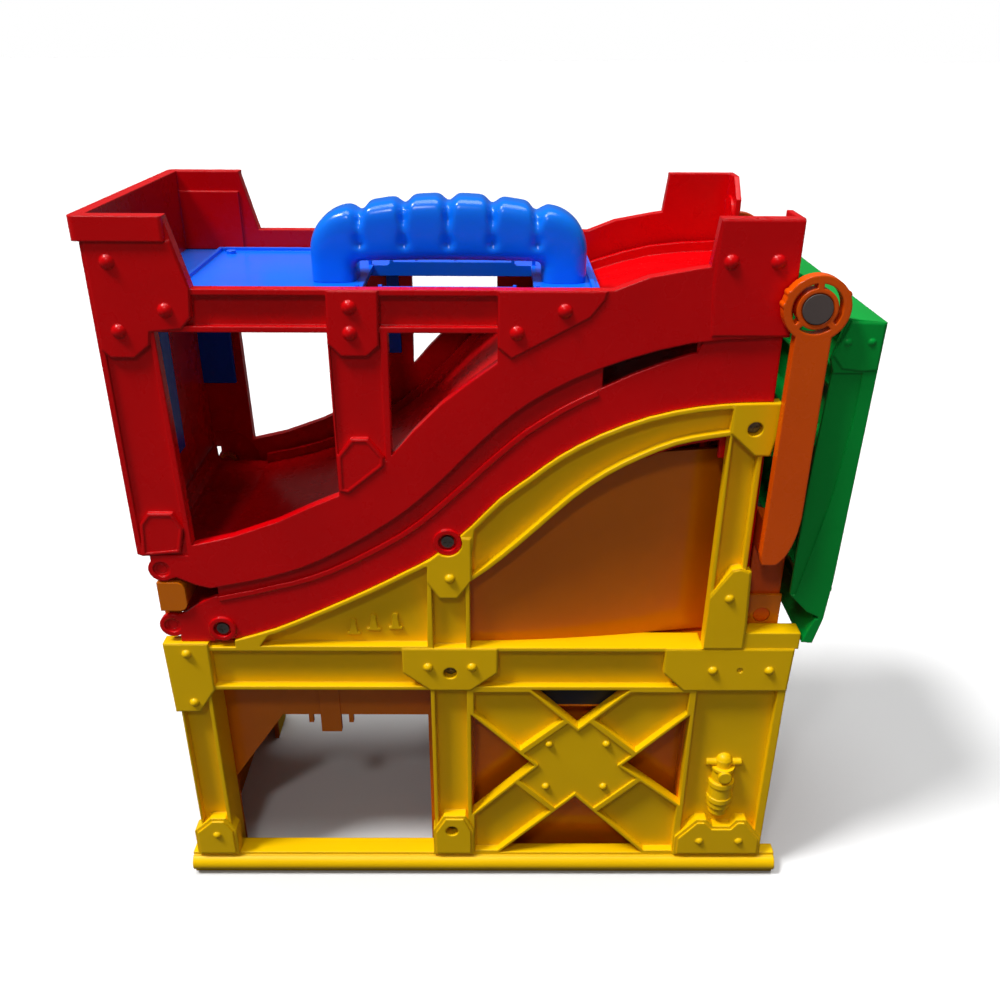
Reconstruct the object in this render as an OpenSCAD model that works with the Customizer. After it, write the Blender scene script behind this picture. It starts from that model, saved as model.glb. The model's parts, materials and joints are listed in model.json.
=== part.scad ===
// Toy parking garage: two bays under a folding drive ramp, with a swing lift at the right end.
// Millimetres, +Z up, +X to the right seen from the front, origin under the middle of the part.
// Side outlines are drawn as (x, z) and extruded along y; the rear half mirrors the front half.

/* [Whole garage] */
// Width of the base over its floor lip
base_w = 392; // [370:1:420]
// Depth between the faces of the front and rear frames
body_d = 160; // [146:1:190]
// Overhang of the left tower's rim past the base
rim_out = 4; // [2.5:0.5:6]
// Overhang of the lift platform past the base
tray_out = 9; // [8:0.5:14]
// Wall of the moulded shells and panels
wall = 3; // [2.4:0.1:3.4]
// Gap kept between pieces that move past each other
run_gap = 0.4; // [0.3:0.05:0.6]

/* [Base frames] */
// Height of the sill under the bays
sill_h = 16; // [12:1:20]
// Clear height of the bays
bay_h = 136; // [126:1:146]
// Height of the middle rail
rail_h = 31; // [28:1:34]
// Thickness of a frame
frame_t = 8; // [7:0.25:9]
// Depth of the recessed webs in a frame
web_in = 5; // [3.5:0.25:5.5]
// Width of the flanges round the webs
flange_w = 2.4; // [1.8:0.1:3.6]
// Reach of the floor lip in front of a frame
lip_out = 5; // [3:0.5:7]
// Distance of the left column from the base's end
col_in = 9; // [8:0.5:12]
// Width of the left column
col_w = 20; // [17:0.5:24]
// Width of the middle column
mid_w = 24.5; // [21:0.5:28]
// Width of the right column
right_w = 57; // [52:1:62]
// Distance of the right column from the base's end
right_in = 10.5; // [9:0.5:13]
// Radius of the rivet heads on the frames
rivet_r = 2.9; // [2.3:0.1:3.4]
// Height of the domed rivet heads
dome_h = 2.2; // [1.4:0.1:2.8]
// Height of the raised plates over the joints of the girders
plate_out = 0.8; // [0.4:0.1:1.2]

/* [Drive ramp] */
// Height of the parting line above the middle rail at its low end
foot_rise = 41.5; // [40:0.25:43]
// Climb of the parting line
ramp_rise = 150.5; // [142:0.5:156]
// Distance of the parting line's low end from the base's left end
ramp_in = 38.5; // [37:0.5:42]
// Distance of the parting line's high end from the base's right end
ramp_out = 42.5; // [41:0.5:46]
// Distance of the girder's top flange below the parting line
ramp_band = 35; // [33:0.5:37]
// Widest part of the groove along the parting line
groove_w = 12; // [9:0.5:13]
// Depth of the lower ramp's floor below its wall's edge
kerb_h = 12; // [10:0.5:14]

/* [Upper shell] */
// Height of the parapet above the high end of the parting line
parapet_h = 23.5; // [21:0.5:26]
// Width of the left tower at its top
tower_l_w = 41.6; // [38:0.2:46]
// Width of the right tower at its top
tower_r_w = 40.5; // [37:0.5:44]
// Height of the rim round the left tower
rim_h = 12; // [9:0.5:15]
// Reach of the rim in front of the tower
rim_t = 2.2; // [1.5:0.1:3]
// Depth of the right tower's return wall at the front
return_d = 24; // [18:1:27]
// Thickness of the upper walls with their flanges
upper_t = 6.5; // [5.5:0.25:7.5]
// Depth of the recesses in the upper walls
upper_in = 3.5; // [2:0.25:3.75]
// Width of the flanges of the upper girders
up_flange = 3; // [2.2:0.1:4]
// Radius of the rivet heads on the upper walls
rivet_up_r = 3.8; // [3:0.1:4.4]

/* [Deck and handle] */
// Drop of the deck's surface below the parapet
deck_drop = 12.5; // [10:0.5:15]
// Length of the handle
handle_l = 156; // [146:1:166]
// Height of the handle above the deck
handle_h = 46.5; // [42:0.5:50]
// Depth of the handle's grip
grip_d = 30; // [24:1:34]
// Thickness of the handle's grip and legs
grip_t = 28; // [26:0.5:31]
// Height of the grip at mid span
span_t = 33; // [30:0.5:35]
// Depth of the grooves between the fingers
finger_in = 2.6; // [1:0.2:3.6]
// Depth of the finger opening in the deck
hand_gap = 60; // [44:1:64]

/* [Fold hinge] */
// Distance of the fold axes from the base's left end
fold_in = 12.1; // [11.6:0.1:12.6]
// Height of the lower fold axis above the middle rail
fold_rise = 14.5; // [13.5:0.25:15]
// Distance between the two fold axes
link_l = 39.5; // [38.5:0.25:41]
// Radius of the fold pins
pin_r = 3; // [2.4:0.1:3.4]
// Radial play of the pins and shafts in their bores
play = 0.05; // [0.03:0.01:0.09]
// Gap between the unfolded tower and the floor
land_gap = 0.5; // [0.3:0.1:1.5]

/* [Lift] */
// Distance of the lift's shaft from the base's right end
lift_in = 29; // [27.5:0.5:30]
// Height of the lift's shaft above the middle rail
lift_rise = 17; // [16:0.5:19]
// Radius of the shaft and the axle
axle_r = 5; // [4.2:0.1:5.4]
// Width of the lift arms
arm_w = 18; // [16:0.5:20]
// Thickness of the lift arms
arm_t = 6.8; // [6:0.1:7.5]
// Radius of the rings at the arms' top ends
ring_r = 15.8; // [15:0.1:16.5]
// Radius of the round caps on the axle
cap_r = 7.6; // [7:0.1:8]
// Radius of the platform's knuckles
knuckle_r = 8; // [7.4:0.1:8.4]
// Length of the platform below its top edge
tray_l = 195.5; // [185:0.5:199]
// Depth of the platform's skirts
skirt_w = 24; // [20:0.5:25]

/* [Hidden] */
$fn = 40;
over = 1; // overrun of cuts past a face
rivet_h = 1; // unit step of the small ledges

// Main lines in x
total_w = rim_out + base_w + tray_out;
base_x0 = -total_w / 2 + rim_out;
base_x1 = base_x0 + base_w;
col_x0 = base_x0 + col_in;
col_x1 = col_x0 + col_w;
mid_share = 0.4485;
mid_x = base_x0 + base_w * mid_share;
mid_x0 = mid_x - mid_w / 2;
mid_x1 = mid_x + mid_w / 2;
right_x1 = base_x1 - right_in;
right_x0 = right_x1 - right_w;
ramp_x0 = base_x0 + ramp_in;
ramp_x1 = base_x1 - ramp_out;
ramp_run = ramp_x1 - ramp_x0;
tower_over = 2.7; // overhang of the right tower past the ramp's end
tower_x1 = ramp_x1 + tower_over;

// Main lines in y
face_y = -body_d / 2;
frame_in_y = face_y + frame_t;
low_wall_set = 2; // set-back of the lower ramp's wall behind the frames' faces
low_y = face_y + low_wall_set;
low_in_y = low_y + wall;
up_in_y = face_y + upper_t;

// Main lines in z
z0 = sill_h;
z1 = z0 + bay_h;
z2 = z1 + rail_h;
ramp_z0 = z2 + foot_rise;
ramp_z1 = ramp_z0 + ramp_rise;
wall_z = ramp_z1 + parapet_h;
fold_x = base_x0 + fold_in;
fold_a_z = z2 + fold_rise;
fold_b_z = fold_a_z + link_l;
total_h = fold_a_z + fold_b_z - land_gap;
deck_z = wall_z - deck_drop;

// Lift axes
shaft_x = base_x1 - lift_in;
shaft_z = z2 + lift_rise;
axle_gap = 1.3; // gap between the platform's knuckles and the right tower
axle_x = tower_x1 + knuckle_r + axle_gap;
axle_drop = 6.5; // axle below the parapet's edge
axle_z = wall_z - axle_drop;

// Curves: a smooth line through the points, n steps to a span
function mid_pt(a, b, c, d, t) = 0.5 * ((2 * b) + (c - a) * t + (2 * a - 5 * b + 4 * c - d) * t * t
    + (3 * b - a - 3 * c + d) * t * t * t);
function smooth(p, n) = [for (i = [0 : len(p) - 2]) for (k = [0 : n - 1])
    mid_pt(p[max(i - 1, 0)], p[i], p[i + 1], p[min(i + 2, len(p) - 1)], k / n), p[len(p) - 1]];
function unit(v) = v / norm(v);
function rev(p) = [for (i = [len(p) - 1 : -1 : 0]) p[i]];
// Parallel curve at distances d[i], positive to the left of its run
function along(p, i) = unit(p[min(i + 1, len(p) - 1)] - p[max(i - 1, 0)]);
function beside(p, d) = [for (i = [0 : len(p) - 1]) let (t = along(p, i)) p[i] + d[i] * [-t[1], t[0]]];
function same(p, d) = [for (i = [0 : len(p) - 1]) d];
// Parts of a curve left or right of a given x, with the cut point worked out
function cut_at(p, x) = let (i = max([for (k = [0 : len(p) - 2]) p[k][0] <= x ? k : 0]))
    p[i] + (p[i + 1] - p[i]) * (x - p[i][0]) / (p[i + 1][0] - p[i][0]);
function between(p, a, b) = concat([cut_at(p, a)],
    [for (q = p) if (q[0] > a + fine && q[0] < b - fine) q], [cut_at(p, b)]);
fine = 0.05; // points closer than this are merged
// Inward copy of a counter-clockwise outline
function inset(p, d) = let (n = len(p)) [for (i = [0 : n - 1])
    let (a = unit(p[i] - p[(i + n - 1) % n]), b = unit(p[(i + 1) % n] - p[i]))
    p[i] + d * ([-a[1], a[0]] + [-b[1], b[0]]) / (1 + a * b)];

// Parting line between the ramps, as shares of the run and the rise
part_shares = [[0, 0], [0.109, 0.049], [0.209, 0.126], [0.338, 0.289], [0.421, 0.436],
    [0.503, 0.613], [0.584, 0.759], [0.698, 0.884], [0.849, 0.978], [1, 1]];
steps = 3;
part_line = smooth([for (s = part_shares) [ramp_x0 + ramp_run * s[0], ramp_z0 + ramp_rise * s[1]]], steps);
// Width of the groove at the same points, as shares of its widest part
groove_shares = [0.6, 0.55, 0.68, 0.83, 0.82, 0.92, 1, 0.93, 0.55, 0.5];
function groove_at(i) = let (k = floor(i / steps), t = i / steps - k)
    groove_w * (groove_shares[k] * (1 - t) + groove_shares[min(k + 1, len(groove_shares) - 1)] * t);
groove_line = beside(part_line, [for (i = [0 : len(part_line) - 1]) -groove_at(i)]);
// Top flange of the yellow girder and its lower flange
girder_z0 = ramp_z0 - ramp_band;
girder_shares = [[0.031, -0.011], [0.11, 0.041], [0.199, 0.126], [0.296, 0.227], [0.362, 0.303],
    [0.409, 0.36], [0.455, 0.442], [0.486, 0.502], [0.536, 0.615], [0.589, 0.704], [0.64, 0.788],
    [0.708, 0.87], [0.791, 0.939], [0.874, 0.977], [0.95, 0.992], [1.014, 0.994]];
girder_line = smooth([for (s = girder_shares) [ramp_x0 + ramp_run * s[0], girder_z0 + ramp_rise * s[1]]], 2);
under_shares = [[0.44, 0.225], [0.488, 0.274], [0.545, 0.373], [0.607, 0.498], [0.667, 0.621], [0.725, 0.715],
    [0.783, 0.783], [0.841, 0.835], [0.899, 0.861], [0.96, 0.88]];
under_line = smooth([for (s = under_shares) [ramp_x0 + ramp_run * s[0], girder_z0 + ramp_rise * s[1]]], 2);

// Extrusion of an (x, z) outline from y to y + t, and its mirrored pair
module side(y, t) { translate([0, y + t, 0]) rotate([90, 0, 0]) linear_extrude(height = t) children(); }
module rear() { mirror([0, 1, 0]) children(); }
module both() { children(); rear() children(); }
module box(a, b) { translate(a) cube(b - a); }
module rect(x_a, x_b, z_a, z_b) { translate([x_a, z_a]) square([x_b - x_a, z_b - z_a]); }
// Round bar along y from y_a to y_b
module bar(x, z, r, y_a, y_b) { translate([x, y_b, z]) rotate([90, 0, 0]) cylinder(r = r, h = y_b - y_a); }
// Domed rivet head of radius r that stands dome_h out of a face at y
module rivet(x, z, y, r) {
    ball = (r * r + dome_h * dome_h) / (2 * dome_h);
    intersection() {
        translate([x, y - dome_h + ball, z]) sphere(r = ball);
        bar(x, z, r + fine, y - dome_h - over, y + rivet_h);
    }
}
// Raised plate with a stepped edge over the outline pts, standing h out of a face at y
module plate(pts, y, h) {
    side(y - h * 0.6, h * 0.6 + fine) polygon(pts);
    side(y - h, h) polygon(inset(pts, h * 0.8));
}
// Points at shares s of a box with its corner at (x, z)
function at(x, z, w, h, s) = [for (q = s) [x + w * q[0], z + h * q[1]]];

// ---------------------------------------------------------------- yellow frames
gus_out = 16.5; // reach of the middle gusset past its column
gus_cut = 13.4; // its lower bevel
top_gap = 3; // height of the left gusset above the rail
left_gusset = [[col_x0 - top_gap - rivet_h, z2 + top_gap], [col_x0 - top_gap, z1 - gus_out],
    [col_x1 - frame_t, z1 - gus_out], [col_x1 + top_gap, z1], [col_x1 + top_gap, z2 + top_gap]];
mid_gusset = [[mid_x0 - gus_out, z2], [mid_x0 - gus_out, z1 + gus_cut], [mid_x0, z1], [mid_x1, z1],
    [mid_x1 + gus_out, z1 + gus_cut], [mid_x1 + gus_out, z2]];
right_cut = 13.4; // bevel of the right gusset
right_over = 19.5; // reach of the right gusset past its column
right_gusset = [[right_x0 - right_over, z2], [right_x0 - right_over, z1 + right_cut],
    [right_x0 - right_over + right_cut, z1], [right_x1, z1], [right_x1 + rivet_h, z2]];
foot_h = 31.5; // height of the feet above the sill
foot_w = 27.4; // width of the left foot
foot_out = 2.6; // how far the feet stand out of the frame's face
foot_shares = [[0, 0], [1, 0], [1, 0.68], [0.78, 1], [0.43, 1], [0.08, 0.72], [0, 0.66]];
foot_r_shares = [[0, 0], [1, 0], [0.99, 0.45], [0.79, 0.98], [0.68, 0.98], [0.61, 0.8], [0.42, 0.8], [0.335, 0.98],
    [0.22, 0.98], [0, 0.5]];
foot_pts = at(col_x0 - 2 * flange_w, z0, foot_w, foot_h, foot_shares);
foot_r_pts = at(right_x0 - rivet_h, z0, right_w + rivet_h, foot_h, foot_r_shares);
hub_h = 35; // height of the middle column's foot block
hub_out = 1.2; // reach of the foot block past its column
hub_shares = [[0, 0], [1, 0], [1, 0.6], [0.8, 0.97], [0.27, 0.97], [0, 0.6]];
hub_pts = at(mid_x0 - hub_out, z0, mid_w + 2 * hub_out, hub_h, hub_shares);

// Crossed brace of the right bay: openings and recesses as shares of the bay
brace_open_shares = [[[0.271, 1], [0.492, 0.779], [0.716, 1]], [[0, 0.86], [0, 0.25], [0.297, 0.558]],
    [[1, 0.86], [0.705, 0.559], [1, 0.31]], [[0.13, 0], [0.84, 0], [0.494, 0.37]]];
// the four arms between the openings, and the hub where they meet
brace_arm_shares = [[[0, 1], [0, 0.86], [0.226, 0.63], [0.443, 0.828], [0.271, 1]],
    [[1, 1], [0.716, 1], [0.544, 0.83], [0.766, 0.622], [1, 0.86]],
    [[0, 0], [0.13, 0], [0.399, 0.274], [0.208, 0.466], [0, 0.25]],
    [[0.84, 0], [1, 0], [1, 0.31], [0.799, 0.48], [0.586, 0.272]]];
brace_hub_shares = [[0.226, 0.63], [0.297, 0.558], [0.208, 0.466], [0.399, 0.274], [0.494, 0.37], [0.586, 0.272],
    [0.799, 0.48], [0.705, 0.559], [0.766, 0.622], [0.544, 0.83], [0.492, 0.779], [0.443, 0.828]];
hub_in = 1.4; // depth of the recess over the brace's hub
arm_edge = 1.8; // width of the ribs along the brace's arms
brace_rivet_shares = [[0.361, 0.682], [0.628, 0.683], [0.352, 0.424], [0.626, 0.424]];
function in_bay(s) = [mid_x1 + (right_x0 - mid_x1) * s[0], z0 + bay_h * s[1]];

post_in = 2.8; // distance of the upper right post from the right column's edge
post_w = 19.6; // width of the upper right post
post_x0 = right_x0 + post_in; // upper right post
post_x1 = post_x0 + post_w;
shelf_h = 11; // height of the shelf behind the lift's foot
shelf_d = 11; // depth of the shelf
shelf_x1 = right_x1 + top_gap;
win_x1 = post_x0;
corner_h = 30; // height of the bracket at the girder's right end
corner_cut = 13; // its bevel
girder_end = girder_line[len(girder_line) - 1];
upper_left_x = girder_line[0][0];
// Outline of the frame above the middle rail
upper_frame = concat([[shelf_x1, z2], [shelf_x1, z2 + shelf_h], [post_x1, z2 + shelf_h]],
    [[post_x1, girder_end[1] - corner_h], [girder_end[0] - rivet_r, girder_end[1] - corner_h],
    [girder_end[0], girder_end[1] - corner_h + corner_cut]], rev(girder_line), [[upper_left_x, z2]]);
window_open = concat([[mid_x1, z2 + fine], [win_x1, z2 + fine]],
    rev(between(under_line, mid_x1, win_x1 + rivet_h)));
// Girder web: between the two flanges
web_x0 = mid_x1 + hub_out;
web_x1 = post_x0 + rivet_h;
girder_web = concat(beside(between(under_line, web_x0, web_x1), same(between(under_line, web_x0, web_x1), flange_w)),
    rev(beside(between(girder_line, web_x0, web_x1), same(between(girder_line, web_x0, web_x1), -flange_w))));
tri_x0 = upper_left_x + 6 * flange_w;
tri_x1 = mid_x0 - rivet_h;
tri_web = concat([[tri_x0, z2 + rivet_h], [tri_x1, z2 + rivet_h]],
    rev(beside(between(girder_line, tri_x0 + 2 * flange_w, tri_x1),
    same(between(girder_line, tri_x0 + 2 * flange_w, tri_x1), -flange_w))));
tri_in = frame_t - 2; // depth of the closed triangle's recess
knee_z = cut_at(girder_line, mid_x)[1]; // top of the middle column
knee_h = 34; // height of the upper middle gusset
knee_rise = 6; // how far its outline runs above the column's top
knee_shares = [[0, 0.3], [0.31, 0], [0.72, 0], [1.05, 0.3], [1.05, 1], [0, 1]];
knee_pts = at(mid_x0 - rivet_h, knee_z - knee_h, mid_w + rivet_h, knee_h + knee_rise, knee_shares);
post_plate_h = 56; // height of the plate at the post's foot
post_plate_shares = [[-0.07, 0], [1.23, 0], [1.23, 0.3], [1.15, 0.96], [0.82, 1], [0.58, 0.98], [-0.05, 0.64]];
post_plate = at(post_x0, z2, post_w, post_plate_h, post_plate_shares);
corner_plate = [[post_x0 + rivet_h, girder_end[1] + rivet_h], [post_x0 + rivet_h, girder_end[1] - corner_h + corner_cut],
    [post_x0 + post_w * 0.78, girder_end[1] - corner_h], [girder_end[0] - rivet_r, girder_end[1] - corner_h],
    [girder_end[0], girder_end[1] - corner_h + corner_cut], [girder_end[0], girder_end[1] + rivet_h]];

ring_out = 8; // radius of the screw bosses on the lower ramp
knee_screw = [mid_x, knee_z + ring_out * 0.3]; // lower ramp's screw boss over the middle column
screw_set = 8.4; // corner screw left of the ramp's end
screw_drop = 14.4; // and below the girder's top
corner_screw = [ramp_x1 - screw_set, girder_end[1] - screw_drop];
hub_screw = [mid_x - rivet_h, z0 + hub_h * 0.62];
rail_screw = [mid_x, z1 + rail_h * 0.42];
frame_screws = [corner_screw, hub_screw, rail_screw];
screw_r = 3.6; // radius of the screw heads
screw_hole_r = 4.2; // radius of the holes over them
screw_in = 4.4; // depth of the screw heads below the face
shank_r = 1.6; // radius of the screw shanks

frame_rivets = [[col_x0 + col_w * 0.47, z2 - rail_h * 0.13], [col_x0 + col_w * 0.47, z1 - gus_out * 0.55],
    [mid_x0 - rivet_h, z2 - rail_h * 0.43], [mid_x1 + rivet_h, z2 - rail_h * 0.43],
    [right_x0 + right_w * 0.18, z1 + rail_h / 2], [right_x1 - right_w * 0.22, z1 + rail_h / 2],
    [post_x0 + post_w * 0.6, z2 + post_plate_h * 0.64], [mid_x + rivet_h, knee_z - knee_h * 0.6]];
foot_rivets = [[col_x0 + col_w * 0.5, z0 + foot_h * 0.58], [right_x0 + right_w * 0.265, z0 + foot_h * 0.42],
    [right_x0 + right_w * 0.725, z0 + foot_h * 0.42]];

module frame_outline(open_door) {
    difference() {
        union() {
            if (open_door) {
                rect(base_x0, col_x1, 0, z0 + fine);
                rect(mid_x0, base_x1, 0, z0 + fine);
            } else {
                rect(base_x0, base_x1, 0, z0 + fine);
            }
            rect(col_x0, col_x1, 0, z2);
            rect(mid_x0, mid_x1, 0, z2);
            rect(mid_x1 - fine, right_x0 + fine, z0, z1 + fine);
            rect(right_x0, right_x1, 0, z2);
            rect(col_x0 - top_gap, right_x1, z1, z2);
            polygon(left_gusset);
            polygon(mid_gusset);
            polygon(right_gusset);
            polygon(foot_pts);
            polygon(foot_r_pts);
            polygon(hub_pts);
            polygon(post_plate);
            polygon(upper_frame);
        }
        for (t = brace_open_shares) polygon([for (s = t) in_bay(s)]);
        polygon(window_open);
        // room for the lower ramp's screw boss in the girder's top flange
        translate(knee_screw) circle(r = ring_out + run_gap);
    }
}
module frame_plates() {
    polygon(left_gusset);
    polygon(mid_gusset);
    polygon(right_gusset);
    polygon(foot_pts);
    polygon(foot_r_pts);
    polygon(hub_pts);
    polygon(knee_pts);
    polygon(post_plate);
    polygon(corner_plate);
}

module frame_webs() {
    difference() {
        union() {
            // columns
            rect(col_x0 + flange_w / 2, col_x1 - flange_w, z0, z1);
            rect(mid_x0 + flange_w, mid_x1 - flange_w, z0, z1);
            rect(right_x0 + flange_w, right_x1 - 2 * flange_w, z0, z1);
            rect(mid_x0 + flange_w, mid_x1 - flange_w, z2 + fine, knee_z);
            // middle rail
            rect(col_x1, right_x0, z1 + flange_w, z2 - flange_w);
            // upper right post and girder
            rect(post_x0 + flange_w, post_x1 - flange_w, z2, girder_end[1] - flange_w);
            polygon(girder_web);
        }
        frame_plates();
    }
    for (t = brace_arm_shares) polygon(inset([for (s = t) in_bay(s)], arm_edge));
}

lip_h = 14; // height of the rounded floor lip
lip_r = 6; // rounding of its front
sill_d = 13; // depth of the sill under the left bay
module lip(x_a, x_b) {
    box([x_a, face_y - rivet_h, 0], [x_b, face_y + fine, lip_h]);
    translate([x_a, face_y - lip_out + lip_r, lip_h - lip_r]) rotate([0, 90, 0]) cylinder(r = lip_r, h = x_b - x_a);
    box([x_a, face_y - lip_out + lip_r, lip_h - lip_r], [x_b, face_y + fine, lip_h]);
}

ledge_d = 9; // depth of the rail's top ledge behind the frame
module frame_half(open_door) {
    difference() {
        union() {
            side(face_y, frame_t) frame_outline(open_door);
            // ledge on top of the rail, under the window panel
            box([mid_x1, face_y + frame_t - fine, z2 - wall], [win_x1, face_y + frame_t + ledge_d, z2]);
            // shelf in front of the lift's foot
            box([post_x1, face_y + frame_t - fine, z2], [shelf_x1, face_y + shelf_d, z2 + shelf_h]);
            // returns along the left column
            box([col_x1 - wall, face_y + frame_t - fine, 0], [col_x1, face_y + foot_cut, z1]);
            if (open_door) {
                lip(base_x0, col_x1);
                lip(mid_x0, base_x1);
            } else {
                lip(base_x0, base_x1);
                box([col_x1 - fine, frame_in_y - fine, z0 - wall], [mid_x0 + fine, face_y + sill_d, z0]);
            }
            // raised plates over the joints, and the feet
            for (t = [left_gusset, mid_gusset, right_gusset]) plate(t, face_y, plate_out);
            intersection() {
                plate(knee_pts, face_y, plate_out);
                side(face_y - foot_out, frame_t) frame_outline(open_door);
            }
            intersection() {
                union() {
                    plate(post_plate, face_y, plate_out * 1.5);
                    plate(corner_plate, face_y, plate_out);
                }
                side(face_y - foot_out, frame_t) frame_outline(open_door);
            }
            for (t = [foot_pts, foot_r_pts, hub_pts]) plate(t, face_y, foot_out);
        }
        side(face_y - over, web_in + over) frame_webs();
        side(face_y - over, tri_in + over) polygon(tri_web);
        side(face_y - over, hub_in + over) polygon(inset([for (s = brace_hub_shares) in_bay(s)], arm_edge));
        for (p = frame_screws) {
            bar(p[0], p[1], screw_hole_r, face_y - foot_out - over, face_y + screw_in + rivet_h);
            bar(p[0], p[1], shank_r + play, face_y, face_y + frame_t + over);
        }
        // dimple beside the right gusset's rivets
        bar(right_x0 + right_w * 0.47, z1 + rail_h / 2, rivet_r * 0.6, face_y - plate_out - over, face_y);
    }
    for (p = frame_rivets) rivet(p[0], p[1], face_y - plate_out, rivet_r);
    for (p = foot_rivets) rivet(p[0], p[1], face_y - foot_out + rivet_h / 2, rivet_r);
    for (s = brace_rivet_shares) let (p = in_bay(s)) rivet(p[0], p[1], face_y + hub_in, rivet_r * 0.85);
    relief();
    // small road cones in the closed triangle
    for (s = [[0.257, 0], [0.296, 0.02], [0.338, 0.026]])
        road_cone(ramp_x0 + ramp_run * s[0], girder_z0 + ramp_rise * s[1]);
}
foot_cut = 23; // depth of the left column's return
cone_w = 8; // width of a road cone's base
cone_h = 11; // height of a road cone
cone_t = 1.6; // how far it stands out of the closed triangle
module road_cone(x, z) {
    side(face_y + tri_in - cone_t, cone_t + fine) {
        polygon(at(x - cone_w / 2, z, cone_w, cone_h, [[0, 0], [1, 0], [1, 0.14], [0.8, 0.18], [0.64, 0.9], [0.36, 0.9],
            [0.2, 0.18], [0, 0.14]]));
        translate([x, z + cone_h * 0.85]) circle(r = cone_w * 0.23);
    }
}

// Raised street hydrant on the right column's web
hyd_share = 0.46;
hyd_x = right_x0 + right_w * hyd_share;
hyd_z = z0 + foot_h + rivet_r;
hyd_r = 8.5; // radius of its body
hyd_h = 49; // its height with the cap
// Stacked drums as [radius, from, to], shares of the body's radius and of the height
hyd_shares = [[0.72, 0, 0.2], [0.9, 0.12, 0.22], [1, 0.22, 0.3], [0.92, 0.3, 0.48], [1, 0.48, 0.56], [0.8, 0.56, 0.78],
    [0.9, 0.74, 0.79], [0.62, 0.79, 0.9]];
module relief() {
    intersection() {
        translate([hyd_x, face_y + web_in, hyd_z]) {
            for (d = hyd_shares) translate([0, 0, hyd_h * d[1]]) cylinder(r = hyd_r * d[0], h = hyd_h * (d[2] - d[1]));
            translate([0, 0, hyd_h * 0.88]) sphere(r = hyd_r * 0.6);
            translate([-hyd_r * 1.33, 0, hyd_h * 0.84]) rotate([0, 90, 0]) cylinder(r = hyd_r * 0.3, h = hyd_r * 2.66);
            translate([0, 0, hyd_h * 0.7]) rotate([90, 0, 0]) cylinder(r = hyd_r * 0.5, h = hyd_r * 1.05);
        }
        box([right_x0, face_y - lip_out, z0], [right_x1, face_y + web_in + fine, z1]);
    }
}

// Pilot hole of a frame screw in the wall behind the frame
module pilot(p) { bar(p[0], p[1], shank_r + play, frame_in_y - over, frame_in_y + wall + over); }

module front_frame() { color("gold") frame_half(false); }
module rear_frame() { color("gold") rear() frame_half(true); }

// ---------------------------------------------------------------- orange core
core_y = frame_in_y;
core_x0 = col_x0 + flange_w / 2;
core_x1 = right_x1 - wall;
bay_back_y = face_y + foot_cut; // left bay's panel
arc_in = 17; // how far the curved panel runs back
panel_drop = 17; // gap above the right bay's panel
pocket_in = 9; // how far the panel lies behind the frame's brace
under_gap = run_gap; // gap between the curved panel and the ramp's floor
door_shares = [[0.0, 0], [0.0, 0.42], [0.27, 0.77], [0.97, 0.77], [0.97, 0]];
latch_w = 13; // width of the door's latch tongue
latch_h = 13.5; // its length
floor_z = z1 - wall; // underside of the middle floor
core_lift_x = ramp_x1 - wall;
cheek_t = 2; // thickness of the bearing cheeks
cheek_y = face_y + shelf_d + cheek_t; // inner face of the lift's front bearing cheek
arm_in_y = cheek_y + run_gap;
arm_low_t = 9; // thickness of the arm's inboard block
cheek_h = 31; // height of the bearing cheeks above the rail
cheek_w = 21; // width of a cheek

// Curved window panel: plan outline swept up
function arc_y(t) = core_y + arc_in * (1 - cos(90 * t));
arc_n = 12;
panel_x0 = mid_x1 - wall;
panel_x1 = core_lift_x - wall - run_gap;
panel_pts = [for (i = [0 : arc_n]) [panel_x0 + (panel_x1 - panel_x0) * i / arc_n, arc_y(i / arc_n)]];
window_top_share = 0.76;
panel_z1 = girder_z0 + ramp_rise * window_top_share;

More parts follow.
